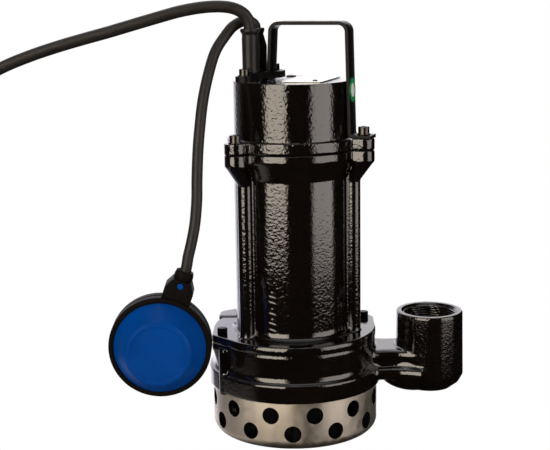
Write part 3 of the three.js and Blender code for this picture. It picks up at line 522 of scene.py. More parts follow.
def casting_paint(name, grain_heights, orange_peel, coarse, fine, foot_heights=None):
    """Glossy black paint over cast iron, with three reliefs. Heights and reliefs are in metres.

    The grain grows from the first grain height down to the second, and most on the left. It dies
    out again between the foot heights.
    """
    paint = Finish(name, (0.0035, 0.0025, 0.002), 0.06, specular=1.0)
    height = paint.axis(paint.coordinates, "Z")
    lower = paint.remap(height, *grain_heights, 0.25, 1.0, smooth=True)
    if foot_heights:
        foot = paint.remap(height, *foot_heights, 1.0, 0.3, smooth=True)
        lower = paint.math("MULTIPLY", lower, foot)
    left = paint.remap(paint.axis(paint.coordinates, "X"), 0.012, -0.03, 0.2, 1.0, smooth=True)
    streaks = paint.math("MULTIPLY", paint.noise(300, detail=1.5), paint.math("MULTIPLY", lower, left))
    grain = paint.math("MULTIPLY", paint.noise(650, detail=2.0), paint.math("MULTIPLY", lower, lower))
    paint.bump(paint.noise(420, detail=1.5), orange_peel)
    paint.bump(streaks, coarse)
    paint.bump(grain, fine)
    paint.roughness(paint.noise(90, detail=4), 0.04, 0.08)
    paint.colors(paint.noise(30), (0.003, 0.002, 0.0016), (0.005, 0.0036, 0.003))
    return paint.material


def strainer_steel(name, dark, light):
    """Brushed steel, stained a little darker in patches."""
    steel = Finish(name, light, 0.45, metallic=1)
    steel.colors(steel.noise(28, detail=5), dark, light)
    steel.roughness(steel.noise(160, detail=4), 0.36, 0.52)
    stretched = steel.node("Mapping", Vector=steel.coordinates, Scale=(1, 1, 0.2)).outputs["Vector"]
    steel.bump(steel.noise(900, detail=2, vector=stretched), 0.00008, 0.5)
    return steel.material


def bare_metal(name, color, roughness, dark=0.75):
    metal = Finish(name, color, roughness, metallic=1)
    metal.colors(metal.noise(180, detail=4), scaled(color, dark), color)
    metal.roughness(metal.noise(300, detail=3), roughness * 0.8, roughness * 1.25)
    metal.bump(metal.noise(1500, detail=2), 0.00004, 0.5)
    return metal.material


def rubber(name, color, roughness):
    skin = Finish(name, color, roughness, specular=0.4)
    skin.colors(skin.noise(60, detail=4), scaled(color, 0.8), scaled(color, 1.15))
    skin.roughness(skin.noise(120), roughness * 0.88, min(1, roughness * 1.12))
    skin.bump(skin.noise(900), 0.0001, 0.6)
    return skin.material


def moulded_plastic(name, color, roughness, relief=0.00012, specular=0.5):
    plastic = Finish(name, color, roughness, specular=specular)
    plastic.colors(plastic.noise(35, detail=4), scaled(color, 0.86), scaled(color, 1.1))
    plastic.roughness(plastic.noise(70), roughness * 0.85, roughness * 1.15)
    plastic.bump(plastic.noise(260), relief, 0.5)
    return plastic.material


PAINT = casting_paint("black_paint", (0.24, 0.15), 0.0001, 0.00015, 0.00008, foot_heights=(0.16, 0.125))
COVER_PAINT = casting_paint("black_paint_cover", (0.2, 0.1), 0.00022, 0.0006, 0.0002)
VOLUTE_PAINT = casting_paint("black_paint_volute", (0.2, 0.1), 0.00004, 0.00003, 0.00006)
SATIN_PAINT = moulded_plastic(
    "black_paint_satin", (0.0055, 0.0042, 0.005), 0.32, relief=0.00008, specular=0.12,
)
STRAINER_STEEL = strainer_steel("strainer_steel", (0.55, 0.50, 0.43), (0.82, 0.75, 0.66))
# Near-black, matt steel for the inside of the basket: painted shade, where the inside lies in shade.
PAINTED_SHADE_STEEL = moulded_plastic("strainer_steel_painted_shade", (0.007, 0.0065, 0.007), 0.8, specular=0.05)
SCREW_STEEL = bare_metal("screw_steel", (0.09, 0.082, 0.075), 0.25)
BRIGHT_STEEL = bare_metal("bright_steel", (0.62, 0.61, 0.6), 0.25)
PLATE_METAL = bare_metal("plate_metal", (0.78, 0.78, 0.77), 0.3, dark=0.9)
IRON = bare_metal("cast_iron", (0.09, 0.085, 0.08), 0.5)
LAMINATIONS = bare_metal("laminations", (0.25, 0.25, 0.26), 0.4)
COPPER = bare_metal("copper", (0.72, 0.36, 0.18), 0.35)
CABLE = rubber("cable_rubber", (0.015, 0.0135, 0.012), 0.5)
GLAND = rubber("gland_rubber", (0.010, 0.0092, 0.0085), 0.42)
RUBBER = rubber("seal_rubber", (0.012, 0.012, 0.012), 0.6)
FLOAT_BLUE = moulded_plastic("float_blue", (0.0, 0.055, 0.295), 0.34, specular=0.06)
FLOAT_BLACK = moulded_plastic("float_black", (0.006, 0.0045, 0.004), 0.55, specular=0.06)
CERAMIC = moulded_plastic("ceramic", (0.78, 0.74, 0.66), 0.25)
WHITE_PLASTIC = moulded_plastic("white_plastic", (0.6, 0.6, 0.57), 0.45)
LABEL_GREEN = moulded_plastic("sticker_green", (0.0, 0.30, 0.07), 0.4, relief=0.00002)
LABEL_WHITE = moulded_plastic("sticker_white", (0.75, 0.78, 0.75), 0.4, relief=0.00002)

NODE_FINISHES = {
    STRAINER_STEEL: ["strainer_basket"],
    IRON: ["suction_plate", "seal_plate", "upper_bearing_bracket", "impeller"],
    RUBBER: ["cover_o_ring", "casing_o_ring", "lip_seal"],
    LAMINATIONS: ["stator_core", "rotor_core"],
    COPPER: ["upper_winding", "lower_winding"],
    WHITE_PLASTIC: ["capacitor", "float_ball_channel", "float_microswitch"],
    CERAMIC: ["terminal_block", "seal_seat"],
    BRIGHT_STEEL: [
        "shaft", "seal_head", "impeller_nut", "float_ball",
        "upper_bearing_outer_ring", "lower_bearing_outer_ring",
        "upper_bearing_inner_ring", "lower_bearing_inner_ring",
        "strainer_screw_1", "strainer_screw_2", "strainer_screw_3",
        "plug_pin_1", "plug_pin_2",
    ],
    # The spacers inside the basket get the near-black steel: painted shade.
    PAINTED_SHADE_STEEL: ["strainer_spacer_1", "strainer_spacer_2", "strainer_spacer_3"],
}
for finish, names in NODE_FINISHES.items():
    for name in names:
        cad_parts[name].data.materials.clear()
        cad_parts[name].data.materials.append(finish)

# ---- Cords ----


def smooth_route(points, spacing=3.0):
    """Points close together on a centripetal spline through the given ones."""
    ends = [2 * Vector(points[0]) - Vector(points[1]), 2 * Vector(points[-1]) - Vector(points[-2])]
    knots = [ends[0], *[Vector(p) for p in points], ends[1]]
    route = []
    for p0, p1, p2, p3 in zip(knots, knots[1:], knots[2:], knots[3:]):
        t1 = math.sqrt((p1 - p0).length)
        t2 = t1 + math.sqrt((p2 - p1).length)
        t3 = t2 + math.sqrt((p3 - p2).length)
        count = max(1, round((p2 - p1).length / spacing))
        for k in range(count):
            t = t1 + (t2 - t1) * k / count
            a1 = p0 * ((t1 - t) / t1) + p1 * (t / t1)
            a2 = p1 * ((t2 - t) / (t2 - t1)) + p2 * ((t - t1) / (t2 - t1))
            a3 = p2 * ((t3 - t) / (t3 - t2)) + p3 * ((t - t2) / (t3 - t2))
            b1 = a1 * ((t2 - t) / t2) + a2 * (t / t2)
            b2 = a2 * ((t3 - t) / (t3 - t1)) + a3 * ((t - t1) / (t3 - t1))
            route.append(b1 * ((t2 - t) / (t2 - t1)) + b2 * ((t - t1) / (t2 - t1)))
    route.append(knots[-2])
    return route


def coil_route():
    """The coil's turns, clockwise, from the front of the top row to the left of the bottom one."""
    pitch = 2 * POWER_CABLE_RADIUS
    inner, middle, outer = (COIL["radius"] + pitch * k for k in (-1, 0, 1))
    rows = [POWER_CABLE_RADIUS + pitch * k for k in range(4)]
    outwards, inwards = (inner, middle, outer), (outer, middle, inner)
    turns = [(middle, rows[3]), (inner, rows[3])]
    for row, order in zip(rows[2::-1], (outwards, inwards, outwards)):
        turns.extend((radius, row) for radius in order)
    random.seed(7)
    slack = [(random.uniform(-0.25, 0.25), random.uniform(0, 2 * math.pi)) for _ in turns]
    front, back, left = -90, -270, -180
    change = 50  # the degrees at the back in which one turn passes into the next
    points = []
    angle = front - 24
    finish = front - 360 * len(turns) + (left - front)
    while angle > finish:
        passed = (back + change / 2 - angle) / 360
        turn = max(0, min(len(turns) - 1, math.floor(passed) + 1))
        into = (passed % 1) * 360 / change
        radius, height = turns[turn]
        if 0 <= passed and into < 1 and turn > 0:
            share = into * into * (3 - 2 * into)
            before = turns[turn - 1]
            radius = before[0] + (radius - before[0]) * share
            height = before[1] + (height - before[1]) * share
        loose, phase = slack[turn]
        radius += loose * math.sin(math.radians(2 * angle) + phase)
        x, y = polar(angle, radius)
        points.append((COIL["x"] + x, COIL["y"] + y, height))
        angle -= 12
    return points


def power_cable():
    gland = (*CABLE_HOLES["power"], 322)
    exit_run = [gland, (*CABLE_HOLES["power"], 340)]
    lead_in = [(-366.5, -62.8, 43.5), (-374, -61.8, 38.6)]
    route = smooth_route(exit_run + POWER_CABLE_ROUTE + lead_in + coil_route() + POWER_CABLE_TAIL_ROUTE)
    curve = bpy.data.curves.new("power_cord", "CURVE")
    curve.dimensions = "3D"
    curve.bevel_depth = POWER_CABLE_RADIUS * MM
    curve.bevel_resolution = 5
    curve.use_fill_caps = True
    spline = curve.splines.new("POLY")
    spline.points.add(len(route) - 1)
    for point, place in zip(spline.points, route):
        point.co = (*(place * MM), 1)
    obj = linked("power_cord", curve)
    curve.materials.append(CABLE)
    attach(obj, "pump_body")
    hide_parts("power_cable", "power_cable_coil", "power_cable_tail")


def tube(name, route, radius, sides=24):
    """A mesh tube round a route, with flat ends."""
    turns = [2 * math.pi * k / sides for k in range(sides)]
    rings = []
    side = Vector((0, 1, 0))
    for i, place in enumerate(route):
        along = (route[min(i + 1, len(route) - 1)] - route[max(i - 1, 0)]).normalized()
        side = (side - along * side.dot(along)).normalized()
        across = along.cross(side)
        rings.append([place + radius * (side * math.cos(t) + across * math.sin(t)) for t in turns])
    return object_of(name, [skinned(rings)])


def float_cable():
    gland = (*CABLE_HOLES["float"], 322)
    up = (FLOAT_PLACE.to_3x3() @ Vector((0, 0, 1))).normalized()
    inside = [tuple(FLOAT_HINGE + up * 3), tuple(FLOAT_HINGE - up * 12)]
    route = smooth_route([gland, (*CABLE_HOLES["float"], 340)] + FLOAT_CABLE_ROUTE + inside)
    obj = tube("float_cord", route, FLOAT_CABLE_RADIUS)
    to_metres(obj, 50)
    obj.data.materials.append(CABLE)
    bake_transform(obj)
    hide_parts("float_cable")


def plug():
    """The mains plug: a ribbed grip and a round front that lies on the floor."""
    radius, length = PLUG["radius"], PLUG["length"]
    ribs = []
    for k in range(6):
        start, grip = 3 + 3.2 * k, 7.6 + 0.25 * k
        for proud, along in ((0, 0), (1, 0.6), (1, 2), (0, 2.6)):
            ribs.append((grip + proud, start + along, 0.4))
    front = [(10, 24, 2), (13, 30, 3), (radius, 36.5, 3), (radius, length, 1.5), (0, length, 0)]
    profile = rounded([(0, 0, 0), (6.6, 0, 1)] + ribs + front, closed=False, steps=4)
    shell = object_of("plug_shell", [turned(profile, 72)])
    lie = Matrix.Translation((PLUG["x"], PLUG["y"], radius + 0.2)) @ QUARTER_TURN_Y
    finish_piece(shell, RUBBER, "pump_body", ["plug_body"], place=lie)


def coil_tie(name, angle):
    """A strap round the coil's section, with its buckle."""
    pitch = 2 * POWER_CABLE_RADIUS
    half, top, gap = pitch * 1.5 + 0.6, pitch * 4 + 0.6, 0.3
    half_width, thickness = 2.75, 1.1
    outline = rounded([
        (-half, gap, 4), (half, gap, 4), (half, top - pitch, 4), (pitch * 0.5 + 0.6, top, 4),
        (-half, top, 4),
    ], steps=8)
    line = [Vector(point) for point in outline]
    rings = []
    for i, point in enumerate(line):
        along = (line[(i + 1) % len(line)] - line[i - 1]).normalized()
        inner, outer = point, point + Vector((along.y, -along.x)) * thickness
        rings.append([
            (spot.x, across, max(0.05, spot.y))
            for spot, across in (
                (inner, -half_width), (outer, -half_width), (outer, half_width), (inner, half_width),
            )
        ])
    buckle = block(9, 8, 5, (-half + 8, 0, top + 1.6))
    obj = object_of(name, [skinned(rings, ends=False), buckle])
    bevel(obj, 0.3, 2)
    place = (
        Matrix.Translation((COIL["x"], COIL["y"], 0)) @ Matrix.Rotation(math.radians(angle), 4, "Z")
        @ Matrix.Translation((COIL["radius"], 0, 0))
    )
    finish_piece(obj, FLOAT_BLACK, "pump_body", place=place)


# ---- Castings ----


def cover_lugs(bottom, top):
    """The lugs that the cover's screws go through."""
    radius, distance = COVER_LUGS["radius"], COVER_LUGS["distance"]
    return [body for angle in COVER_LUGS["angles"] for body in lug(angle, distance, radius, bottom, top)]


def motor_cover():
    radius, bottom, top = COVER["radius"], COVER["bottom"], COVER["top"]
    flange, flange_top = COVER["flange_radius"], COVER["flange_top"]
    shell = turned([
        (0, bottom), (flange, bottom), (flange, flange_top), (radius, flange_top), (radius, top), (0, top),
    ], 160)
    obj = cast("cover_casting", [shell, *cover_lugs(bottom, flange_top)], voxel=0.8, smoothing=4)
    walls = [(radius, flange_top + 2, top - 1), (flange, bottom + 1, flange_top - 1)]
    settle(obj, walls, [top, bottom, flange_top])
    roof = top - COVER_INSIDE["roof"]
    cut(obj, [disc(COVER_INSIDE["radius"], bottom - 1, roof, sides=96)])
    holes = discs_at(COVER_LUGS, LARGE_SCREW_HOLE, bottom - 1, flange_top + 1)
    holes += [disc(GLAND_HOLE, roof - 1, top + 1, place) for place in CABLE_HOLES.values()]
    holes += [disc(SMALL_SCREW_HOLE, top - 7, top + 1, place) for place in CLAMP_SCREWS.values()]
    cut(obj, holes)
    finish_piece(obj, COVER_PAINT, "pump_body", ["motor_cover"])


def housing_columns(bottom):
    """Each lug's column, with the slanted bar that widens it up to the lug."""
    columns = []
    for angle in COVER_LUGS["angles"]:
        foot = polar(angle, COLUMN["distance"])
        head = polar(angle, COVER_LUGS["distance"])
        bar_foot = (*foot, CONE["bottom"] - 4, COLUMN["radius"])
        bar_head = (*head, HOUSING["lug_bottom"] + 1, COVER_LUGS["radius"])
        columns += [disc(COLUMN["radius"], bottom, CONE["bottom"], foot), slanted_bar(bar_foot, bar_head)]
    return columns + cover_lugs(HOUSING["lug_bottom"], HOUSING["top"])


def stator_housing():
    radius, bottom, top, flange = (HOUSING[key] for key in ("radius", "bottom", "top", "flange_radius"))
    base_radius, base_bottom, base_top = (BASE_FLANGE[key] for key in ("radius", "bottom", "top"))
    shell = turned(rounded([
        (0, base_bottom, 0), (base_radius, base_bottom, 0.5), (base_radius, base_top, 2.4),
        (radius, base_top, 5.5), (radius, CONE["bottom"], 4), (flange, CONE["top"], 3), (flange, top, 0.5),
        (0, top, 0),
    ], closed=False), 180)
    ears = prism(eared_outline(base_radius - 0.5), base_bottom, base_top)
    oil_boss = lug(
        OIL_BOSS["angle"], OIL_BOSS["distance"], OIL_BOSS["radius"], base_bottom, OIL_BOSS["top"],
    )
    bodies = [shell, *housing_columns(base_top - 1), ears, *oil_boss, flange_pad()]
    obj = cast("housing_casting", bodies, voxel=0.9, smoothing=4)
    walls = [
        (radius, base_top + 7, CONE["bottom"] - 1), (flange, CONE["top"] + 1, top - 1),
        (base_radius, base_bottom + 1, base_top - 3),
    ]
    settle(obj, walls, [top, base_bottom, base_top])
    cut(obj, casting_pips(), "UNION")
    cut(obj, [disc(VOLUTE["spigot"] + 0.3, base_bottom - 1, bottom, sides=144)])
    oil_top, seat, shaft_hole = OIL_CHAMBER["top"], BEARING_SEAT["bottom"], BEARING_SEAT["shaft_hole"]
    cut(obj, [
        disc(HOUSING["bore"], MOTOR_FLOOR, top + 1, sides=96),
        disc(OIL_CHAMBER["radius"], bottom - 1, oil_top, sides=96),
    ])
    cut(obj, [
        disc(BEARING_SEAT["radius"], seat, MOTOR_FLOOR + 0.5, sides=64),
        disc(shaft_hole, oil_top - 0.5, seat - 0.1, sides=64),
    ])
    holes = discs_at(COVER_LUGS, LARGE_SCREW_HOLE, HOUSING["lug_bottom"] - 4, top + 1)
    holes += discs_at(BASE_EARS, SMALL_SCREW_HOLE, base_bottom - 1, base_top + 1)
    oil_hole = polar(OIL_BOSS["angle"], OIL_BOSS["distance"])
    holes.append(disc(4.3, OIL_BOSS["top"] - 6.5, OIL_BOSS["top"] + 1, oil_hole))
    cut(obj, holes)
    finish_piece(obj, PAINT, "pump_body", ["stator_housing"])


def flange_pad():
    """A low pad on the base flange, at the rear left, with a straight front edge."""
    x, y = polar(FLANGE_PAD["angle"], FLANGE_PAD["distance"])
    reach, front = FLANGE_PAD["radius"], BASE_FLANGE["pad_front"]
    outline = rounded([
        (-69.5, front, 0.5), (-46, front, 0.5), (-46, 62, 1), (x + 2, y + reach + 9, 6),
        (x - reach - 3, y + reach, 9),
    ])
    return prism(outline, BASE_FLANGE["bottom"] + 2, BASE_FLANGE["pad_top"])


def casting_pips():
    """A plain column of raised pips, low on the housing's front left."""
    # (height, half length)
    pips = ((135, 2.2), (131, 5), (126, 5), (120.4, 1.8), (116, 5), (111.2, 2.2), (107.2, 5), (101.5, 5))
    turn = Matrix.Rotation(math.radians(-112.3) + math.pi / 2, 4, "Z")
    tilt = Matrix.Rotation(math.radians(13), 4, "Y")
    bodies = []
    for height, half_length in pips:
        place = turn @ Matrix.Translation((0, -HOUSING["radius"], height)) @ tilt
        bodies.append(placed(ball((half_length, 0.9, 1.5), (0, 0, 0), 32), place))
    return bodies


def volute_bodies():
    """The stepped wall with its ears and rib, the outlet's barrel and elbow, and the neck."""
    top, spigot, radius, shoulder = (VOLUTE[key] for key in ("top", "spigot", "radius", "shoulder"))
    skirt, skirt_top, bottom = VOLUTE["skirt"], VOLUTE["skirt_top"], VOLUTE["bottom"]
    wall = turned([
        (0, bottom), (skirt, bottom), (skirt, skirt_top - 1), (radius + 1.4, skirt_top),
        (radius, skirt_top + 3), (radius, shoulder - 0.6), (radius - 0.6, shoulder), (spigot, shoulder),
        (spigot, top), (0, top),
    ], 180)
    ears = prism(eared_outline(radius - 0.5), shoulder - 6, shoulder)
    ear_bosses = [
        slanted_bar((*polar(angle, 64), 62, 9), (*polar(angle, BASE_EARS["distance"]), shoulder - 4, 9.5))
        for angle in BASE_EARS["angles"]
    ]
    rib_place = polar(VOLUTE_RIB["angle"], VOLUTE_RIB["distance"])
    rib = disc(VOLUTE_RIB["radius"], bottom - 2, shoulder - 2, rib_place)
    barrel = turned([
        (0, OUTLET["bottom"]), (12, 31.8), (21, 35), (27.5, 40.5), (30.9, 47), (30.4, 75),
        (OUTLET["radius"], OUTLET["rim"]), (0, OUTLET["rim"]),
    ], 128, (OUTLET["x"], 0))
    elbow = ball(ELBOW["size"], ELBOW["centre"])
    half, foot, low, ledge, high = (
        NECK[key] for key in ("half_width", "foot_half_width", "bottom", "ledge", "top")
    )
    neck = waisted(NECK["start"], NECK["length"], [
        (low, foot - 4), (low + 2.5, foot - 0.8), (ledge - 4, foot - 0.5), (ledge - 1, foot - 2.5),
        (ledge, foot - 5),
    ])
    upper_neck = waisted(NECK["start"], NECK["length"], [
        (low, half - 3), (high - 4, half - 2), (high - 1, half - 4), (high, half - 6.5),
    ])
    return [wall, ears, *ear_bosses, rib, barrel, elbow, neck, upper_neck]


def volute_casing():
    top, radius, shoulder, bottom = (VOLUTE[key] for key in ("top", "radius", "shoulder", "bottom"))
    obj = cast("volute_casting", volute_bodies(), voxel=0.9, smoothing=5)
    walls = [
        (radius, VOLUTE["skirt_top"] + 4, shoulder - 3),
        (VOLUTE["skirt"], bottom + 1, VOLUTE["skirt_top"] - 2),
    ]
    settle(obj, walls, [top, bottom, shoulder, OUTLET["rim"]])
    recess = STRAINER["radius"] + 0.9
    chamber, floor_height, roof = CHAMBER.values()
    seal_bore, seat_radius, seat = SEAL_PLATE_SEAT.values()
    cut(obj, [turned([
        (0, bottom - 4), (recess, bottom - 4), (recess, floor_height), (chamber, floor_height),
        (chamber, roof), (seal_bore, roof), (seal_bore, seat), (seat_radius, seat),
        (seat_radius, top + 2), (0, top + 2),
    ], 144)])
    centre = (OUTLET["x"], 0)
    thread, rim, bore = OUTLET["thread"], OUTLET["rim"], OUTLET["bore"]
    cut(obj, [disc(bore, 56, 83, centre, sides=96)])
    cut(obj, [threaded_plug(thread, 1.3, 2.309, 82, rim - 0.5, centre)])
    cut(obj, [turned([
        (0, rim - 2.2), (thread - 0.6, rim - 2.2), (thread + 1.8, rim + 0.4), (0, rim + 0.4),
    ], 96, centre)])
    cut(obj, [ball((24, 21.5, 17), (116, 0, 57))])
    passage = Matrix.Translation((82, 0, 60.5)) @ QUARTER_TURN_Y @ Matrix.Diagonal((9, 20, 1, 1))
    cut(obj, [placed(disc(1, -36, 36), passage)])
    holes = discs_at(BASE_EARS, SMALL_SCREW_HOLE, 70, top + 1)
    holes += discs_at(STRAINER_SCREWS, SMALL_SCREW_HOLE, CHAMBER["bottom"] - 1, 59)
    cut(obj, holes)
    finish_piece(obj, VOLUTE_PAINT, "pump_body", ["volute_casing"], sharp=40)


# ---- Strainer ----


def paint_inside_shade(obj, radius, floor_height):
    """Gives the faces inside the basket a near-black, matt steel: painted shade for the dark inside."""
    obj.data.materials.append(PAINTED_SHADE_STEEL)
    for face in obj.data.polygons:
        centre = face.center / MM
        inside = math.hypot(centre.x, centre.y) < radius and centre.z > floor_height
        facing_in = face.normal.x * centre.x + face.normal.y * centre.y < 0 or face.normal.z > 0.5
        if inside and facing_in:
            face.material_index = 1


def strainer_basket():
    radius, top, wall, fillet, hole = (
        STRAINER[key] for key in ("radius", "top", "wall", "fillet", "hole")
    )
    inner_radius = radius - wall
    outer = [(0, 0, 0), (radius, 0, fillet), (radius, top, 0.35), (inner_radius, top, 0.35)]
    inner = [(inner_radius, top, 0), (inner_radius, wall, fillet - wall), (0, wall, 0)]
    outer, inner = (rounded(corners, closed=False, steps=10) for corners in (outer, inner))
    obj = object_of("strainer_pressing", [turned(outer + inner[1:], 240)])
    outwards = Matrix.Translation((inner_radius, 0, 0)) @ QUARTER_TURN_Y
    holes = []
    for height, first in STRAINER_ROWS:
        for k in range(12):
            turn = Matrix.Rotation(math.radians(first - 90 + 30 * k), 4, "Z")
            place = turn @ Matrix.Translation((0, 0, height)) @ outwards
            holes.append(placed(disc(hole, -6, 6, sides=40), place))
    cut(obj, holes)
    cup, hollow, cup_top = STRAINER_CUP.values()
    cut(obj, discs_at(STRAINER_SCREWS, cup, wall / 2, cup_top), "UNION")
    cut(obj, discs_at(STRAINER_SCREWS, hollow, -1, cup_top - wall))
    cut(obj, discs_at(STRAINER_SCREWS, SMALL_SCREW_HOLE, 3, cup_top + 1.6))
    finish_piece(obj, STRAINER_STEEL, "pump_body", ["strainer_basket"], sharp=30)
    # The inside faces of the basket are painted near-black: painted shade.
    paint_inside_shade(obj, radius - wall / 2, wall / 2)


# ---- Handle, clamp plate and glands ----


def bent_strip(corners, thickness, steps=12):
    """The outline of a flat strip bent along a line of (along, height, bend radius) corners."""
    line = [Vector(p) for p in rounded(corners, closed=False, steps=steps)]
    sides = ([], [])
    for i, point in enumerate(line):
        along = (line[min(i + 1, len(line) - 1)] - line[max(i - 1, 0)]).normalized()
        normal = Vector((-along.y, along.x))
        sides[0].append(tuple(point + normal * thickness / 2))
        sides[1].append(tuple(point - normal * thickness / 2))
    return sides[0] + sides[1][::-1]


def handle():
    half = HANDLE["thickness"] / 2
    foot = COVER["flange_top"] + 0.3 + half
    outline = bent_strip([
        (HANDLE["left_foot"], CLAMP_PLATE["bottom"] + 0.3, 0),
        (HANDLE["left_top"], HANDLE["top"] - half, 7.5),
        (HANDLE["right_top"], HANDLE["top"] - half, 7.5), (HANDLE["right_foot"], foot, 3.5),
        (HANDLE["end"], foot, 0),
    ], HANDLE["thickness"])
    strip = prism(outline, -HANDLE["width"] / 2, HANDLE["width"] / 2)
    placed(strip, TO_HANDLE_PLANE @ QUARTER_TURN_X)
    obj = object_of("handle_strip", [strip])
    hole = polar(COVER_LUGS["angles"][0], COVER_LUGS["distance"])
    cut(obj, [disc(LARGE_SCREW_HOLE, COVER["flange_top"] - 1, COVER["flange_top"] + 6, hole)])
    bevel(obj, 1.1, 4, 60)
    finish_piece(obj, SATIN_PAINT, "pump_body", ["handle"])


def clamp_plate():
    """The plate lies low round the glands and bridges the cover's top beside the handle, on a foot."""
    bottom, top, bridge_bottom, bridge_top, start = CLAMP_PLATE.values()
    outline = rounded([
        (-39, -38.5, 6), (-26, -38.5, 6), (-22.5, -23, 4), (-9.8, 2, 2), (-9.8, 13, 3), (-22, 29.5, 6),
        (-41, 29.5, 6), (-46, 8, 4), (-41.5, -20, 6),
    ], steps=8)
    obj = object_of("cable_clamp", [prism(outline, bottom, top)])
    cut(obj, [block(100, 200, 100, (start + 1 + 50, 0, top))])
    bridge = object_of("cable_clamp_bridge", [prism(outline, bridge_bottom, bridge_top)])
    cut(bridge, [block(100, 200, 100, (start - 50, 0, top))])
    body = bmesh.new()
    body.from_mesh(bridge.data)
    bpy.data.objects.remove(bridge)
    cut(obj, [body], "UNION")
    cut(obj, [disc(3.4, bottom, bridge_bottom + 1, (-17.5, -7))], "UNION")
    cut(obj, [block(1.8, 6, 8, (-20.2, 21.8, bridge_top + 1))], "UNION")
    holes = {cable: in_handle_plane(*place) for cable, place in CABLE_HOLES.items()}
    cut(obj, [disc(GLAND_HOLE, bottom - 1, bridge_top + 1, place) for place in holes.values()])
    for cable, base in GLAND_BASES.items():
        cut(obj, [disc(base + 0.9, top, bridge_top + 1, holes[cable])])
    screws = [in_handle_plane(*place) for place in CLAMP_SCREWS.values()]
    cut(obj, [disc(SMALL_SCREW_HOLE, bottom - 1, top + 1, place) for place in screws])
    slot_width, slot_depth = HANDLE["thickness"] + 1, HANDLE["width"] + 0.6
    cut(obj, [block(slot_width, slot_depth, 20, (HANDLE["left_foot"] + 0.1, 0, bottom))])
    bevel(obj, 0.5, 3)
    finish_piece(obj, SATIN_PAINT, "pump_body", ["cable_clamp_plate"], place=TO_HANDLE_PLANE)


def name_plate():
    """A blank metal plate with a pressed border and a rivet."""
    width, depth, thickness = NAME_PLATE["width"], NAME_PLATE["depth"], NAME_PLATE["thickness"]
    level = COVER["top"] + 0.3

    def outline(inset, radius):
        x, y = width / 2 - inset, depth / 2 - inset
        corners = ((-x, -y), (x, -y), (x, y), (-x, y))
        return rounded([(*corner, radius) for corner in corners], steps=5)

    obj = object_of("rating_plate", [prism(outline(0, 2), 0, thickness)])
    cut(obj, [prism(outline(2.2, 1), thickness - 0.15, thickness + 1)])
    bevel(obj, 0.12, 2)
    place = TO_HANDLE_PLANE @ Matrix.Translation((NAME_PLATE["along"], NAME_PLATE["across"], level))
    finish_piece(obj, PLATE_METAL, "pump_body", ["name_plate"], place=place)
    dome = rounded([(0, 0, 0), (2.3, 0, 0.3), (1.9, 1.1, 0.6), (0, 1.6, 0)], closed=False, steps=6)
    rivet = object_of("plate_rivet", [turned(dome, 32, NAME_PLATE["rivet"])])
    on_plate = place @ Matrix.Translation((0, 0, thickness))
    finish_piece(rivet, SCREW_STEEL, "pump_body", place=on_plate)


def cover_stud():
    """A low round head on the cover's top, behind the clamp plate."""
    profile = rounded([
        (0, 0, 0), (4.3, 0, 0), (4.3, 0.9, 0.4), (2.4, 1.1, 0.2), (2.1, 0.5, 0.2), (0, 0.5, 0),
    ], closed=False)
    obj = object_of("cover_stud_head", [turned(profile, 48)])
    spot = (*COVER_STUD.values(), COVER["top"] + 0.05)
    place = TO_HANDLE_PLANE @ Matrix.Translation(spot)
    finish_piece(obj, SCREW_STEEL, "pump_body", place=place)


def gland(cable, cable_radius, shoulder, waist, lip):
    """A rubber sleeve: straight up to its shoulder, drawn in to a waist, and with a rolled lip."""
    base, bottom, bore = GLAND_BASES[cable], CLAMP_PLATE["top"] + 0.3, cable_radius + 0.1
    neck, lip_height, top = GLAND_SLEEVE.values()
    profile = rounded([
        (bore, bottom, 0), (base + 0.3, bottom, 0.5), (base + 0.3, bottom + 3, 0.8),
        (base - 0.3, bottom + 4.2, 0.8), (base - 0.1, shoulder, 4), (waist, neck, 1.2),
        (lip, lip_height, 0.8), (lip, top, 1), (bore, top, 0.3),
    ], steps=6)
    obj = object_of(f"{cable}_gland", [turned(profile, 64, CABLE_HOLES[cable])])
    finish_piece(obj, GLAND, "pump_body", [f"{cable}_cable_gland"])


# ---- Screws ----


def cap_screw(node, place, seat, head, shank):
    """A socket-head screw with its washer, on a seat. Head and shank are given as (radius, length)."""
    head_radius, head_height = head
    shank_radius, shank_length = shank
    washer, washer_radius = 1.2, head_radius + 1
    top = washer + head_height
    profile = rounded([
        (0, -shank_length, 0), (shank_radius, -shank_length, 0.6), (shank_radius, 0.15, 0),
        (washer_radius, 0.15, 0.3), (washer_radius, washer, 0.3), (head_radius, washer + 0.05, 0.1),
        (head_radius, top, 0.8), (0, top, 0),
    ], closed=False, steps=4)
    obj = object_of(node + "_bolt", [turned(profile, 48)])
    socket = head_radius * 0.55
    cut(obj, [disc(socket, top - 3, top + 1, sides=6)])
    where = Matrix.Translation((*place, seat))
    finish_piece(obj, SCREW_STEEL, "pump_body", [node], place=where)


def hex_screw(node, place, seat):
    """A painted hexagon-head screw with the chamfered top of its head."""
    radius, height, shank_radius, shank_length = 4.6, 5.5, 2.5, 20
    obj = object_of(node + "_bolt", [disc(radius, 0.15, height, sides=6)])
    wide, narrow = radius * 1.2, radius * 0.8
    dome = turned([(0, -1), (wide, -1), (wide, height - 1.1), (narrow, height), (0, height)], 64)
    cut(obj, [dome], "INTERSECT")
    cut(obj, [disc(shank_radius, -shank_length, 1)], "UNION")
    bevel(obj, 0.2, 2, 25)
    where = Matrix.Translation((*place, seat)) @ Matrix.Rotation(math.radians(12), 4, "Z")
    finish_piece(obj, SATIN_PAINT, "pump_body", [node], place=where)


# ---- Float ----


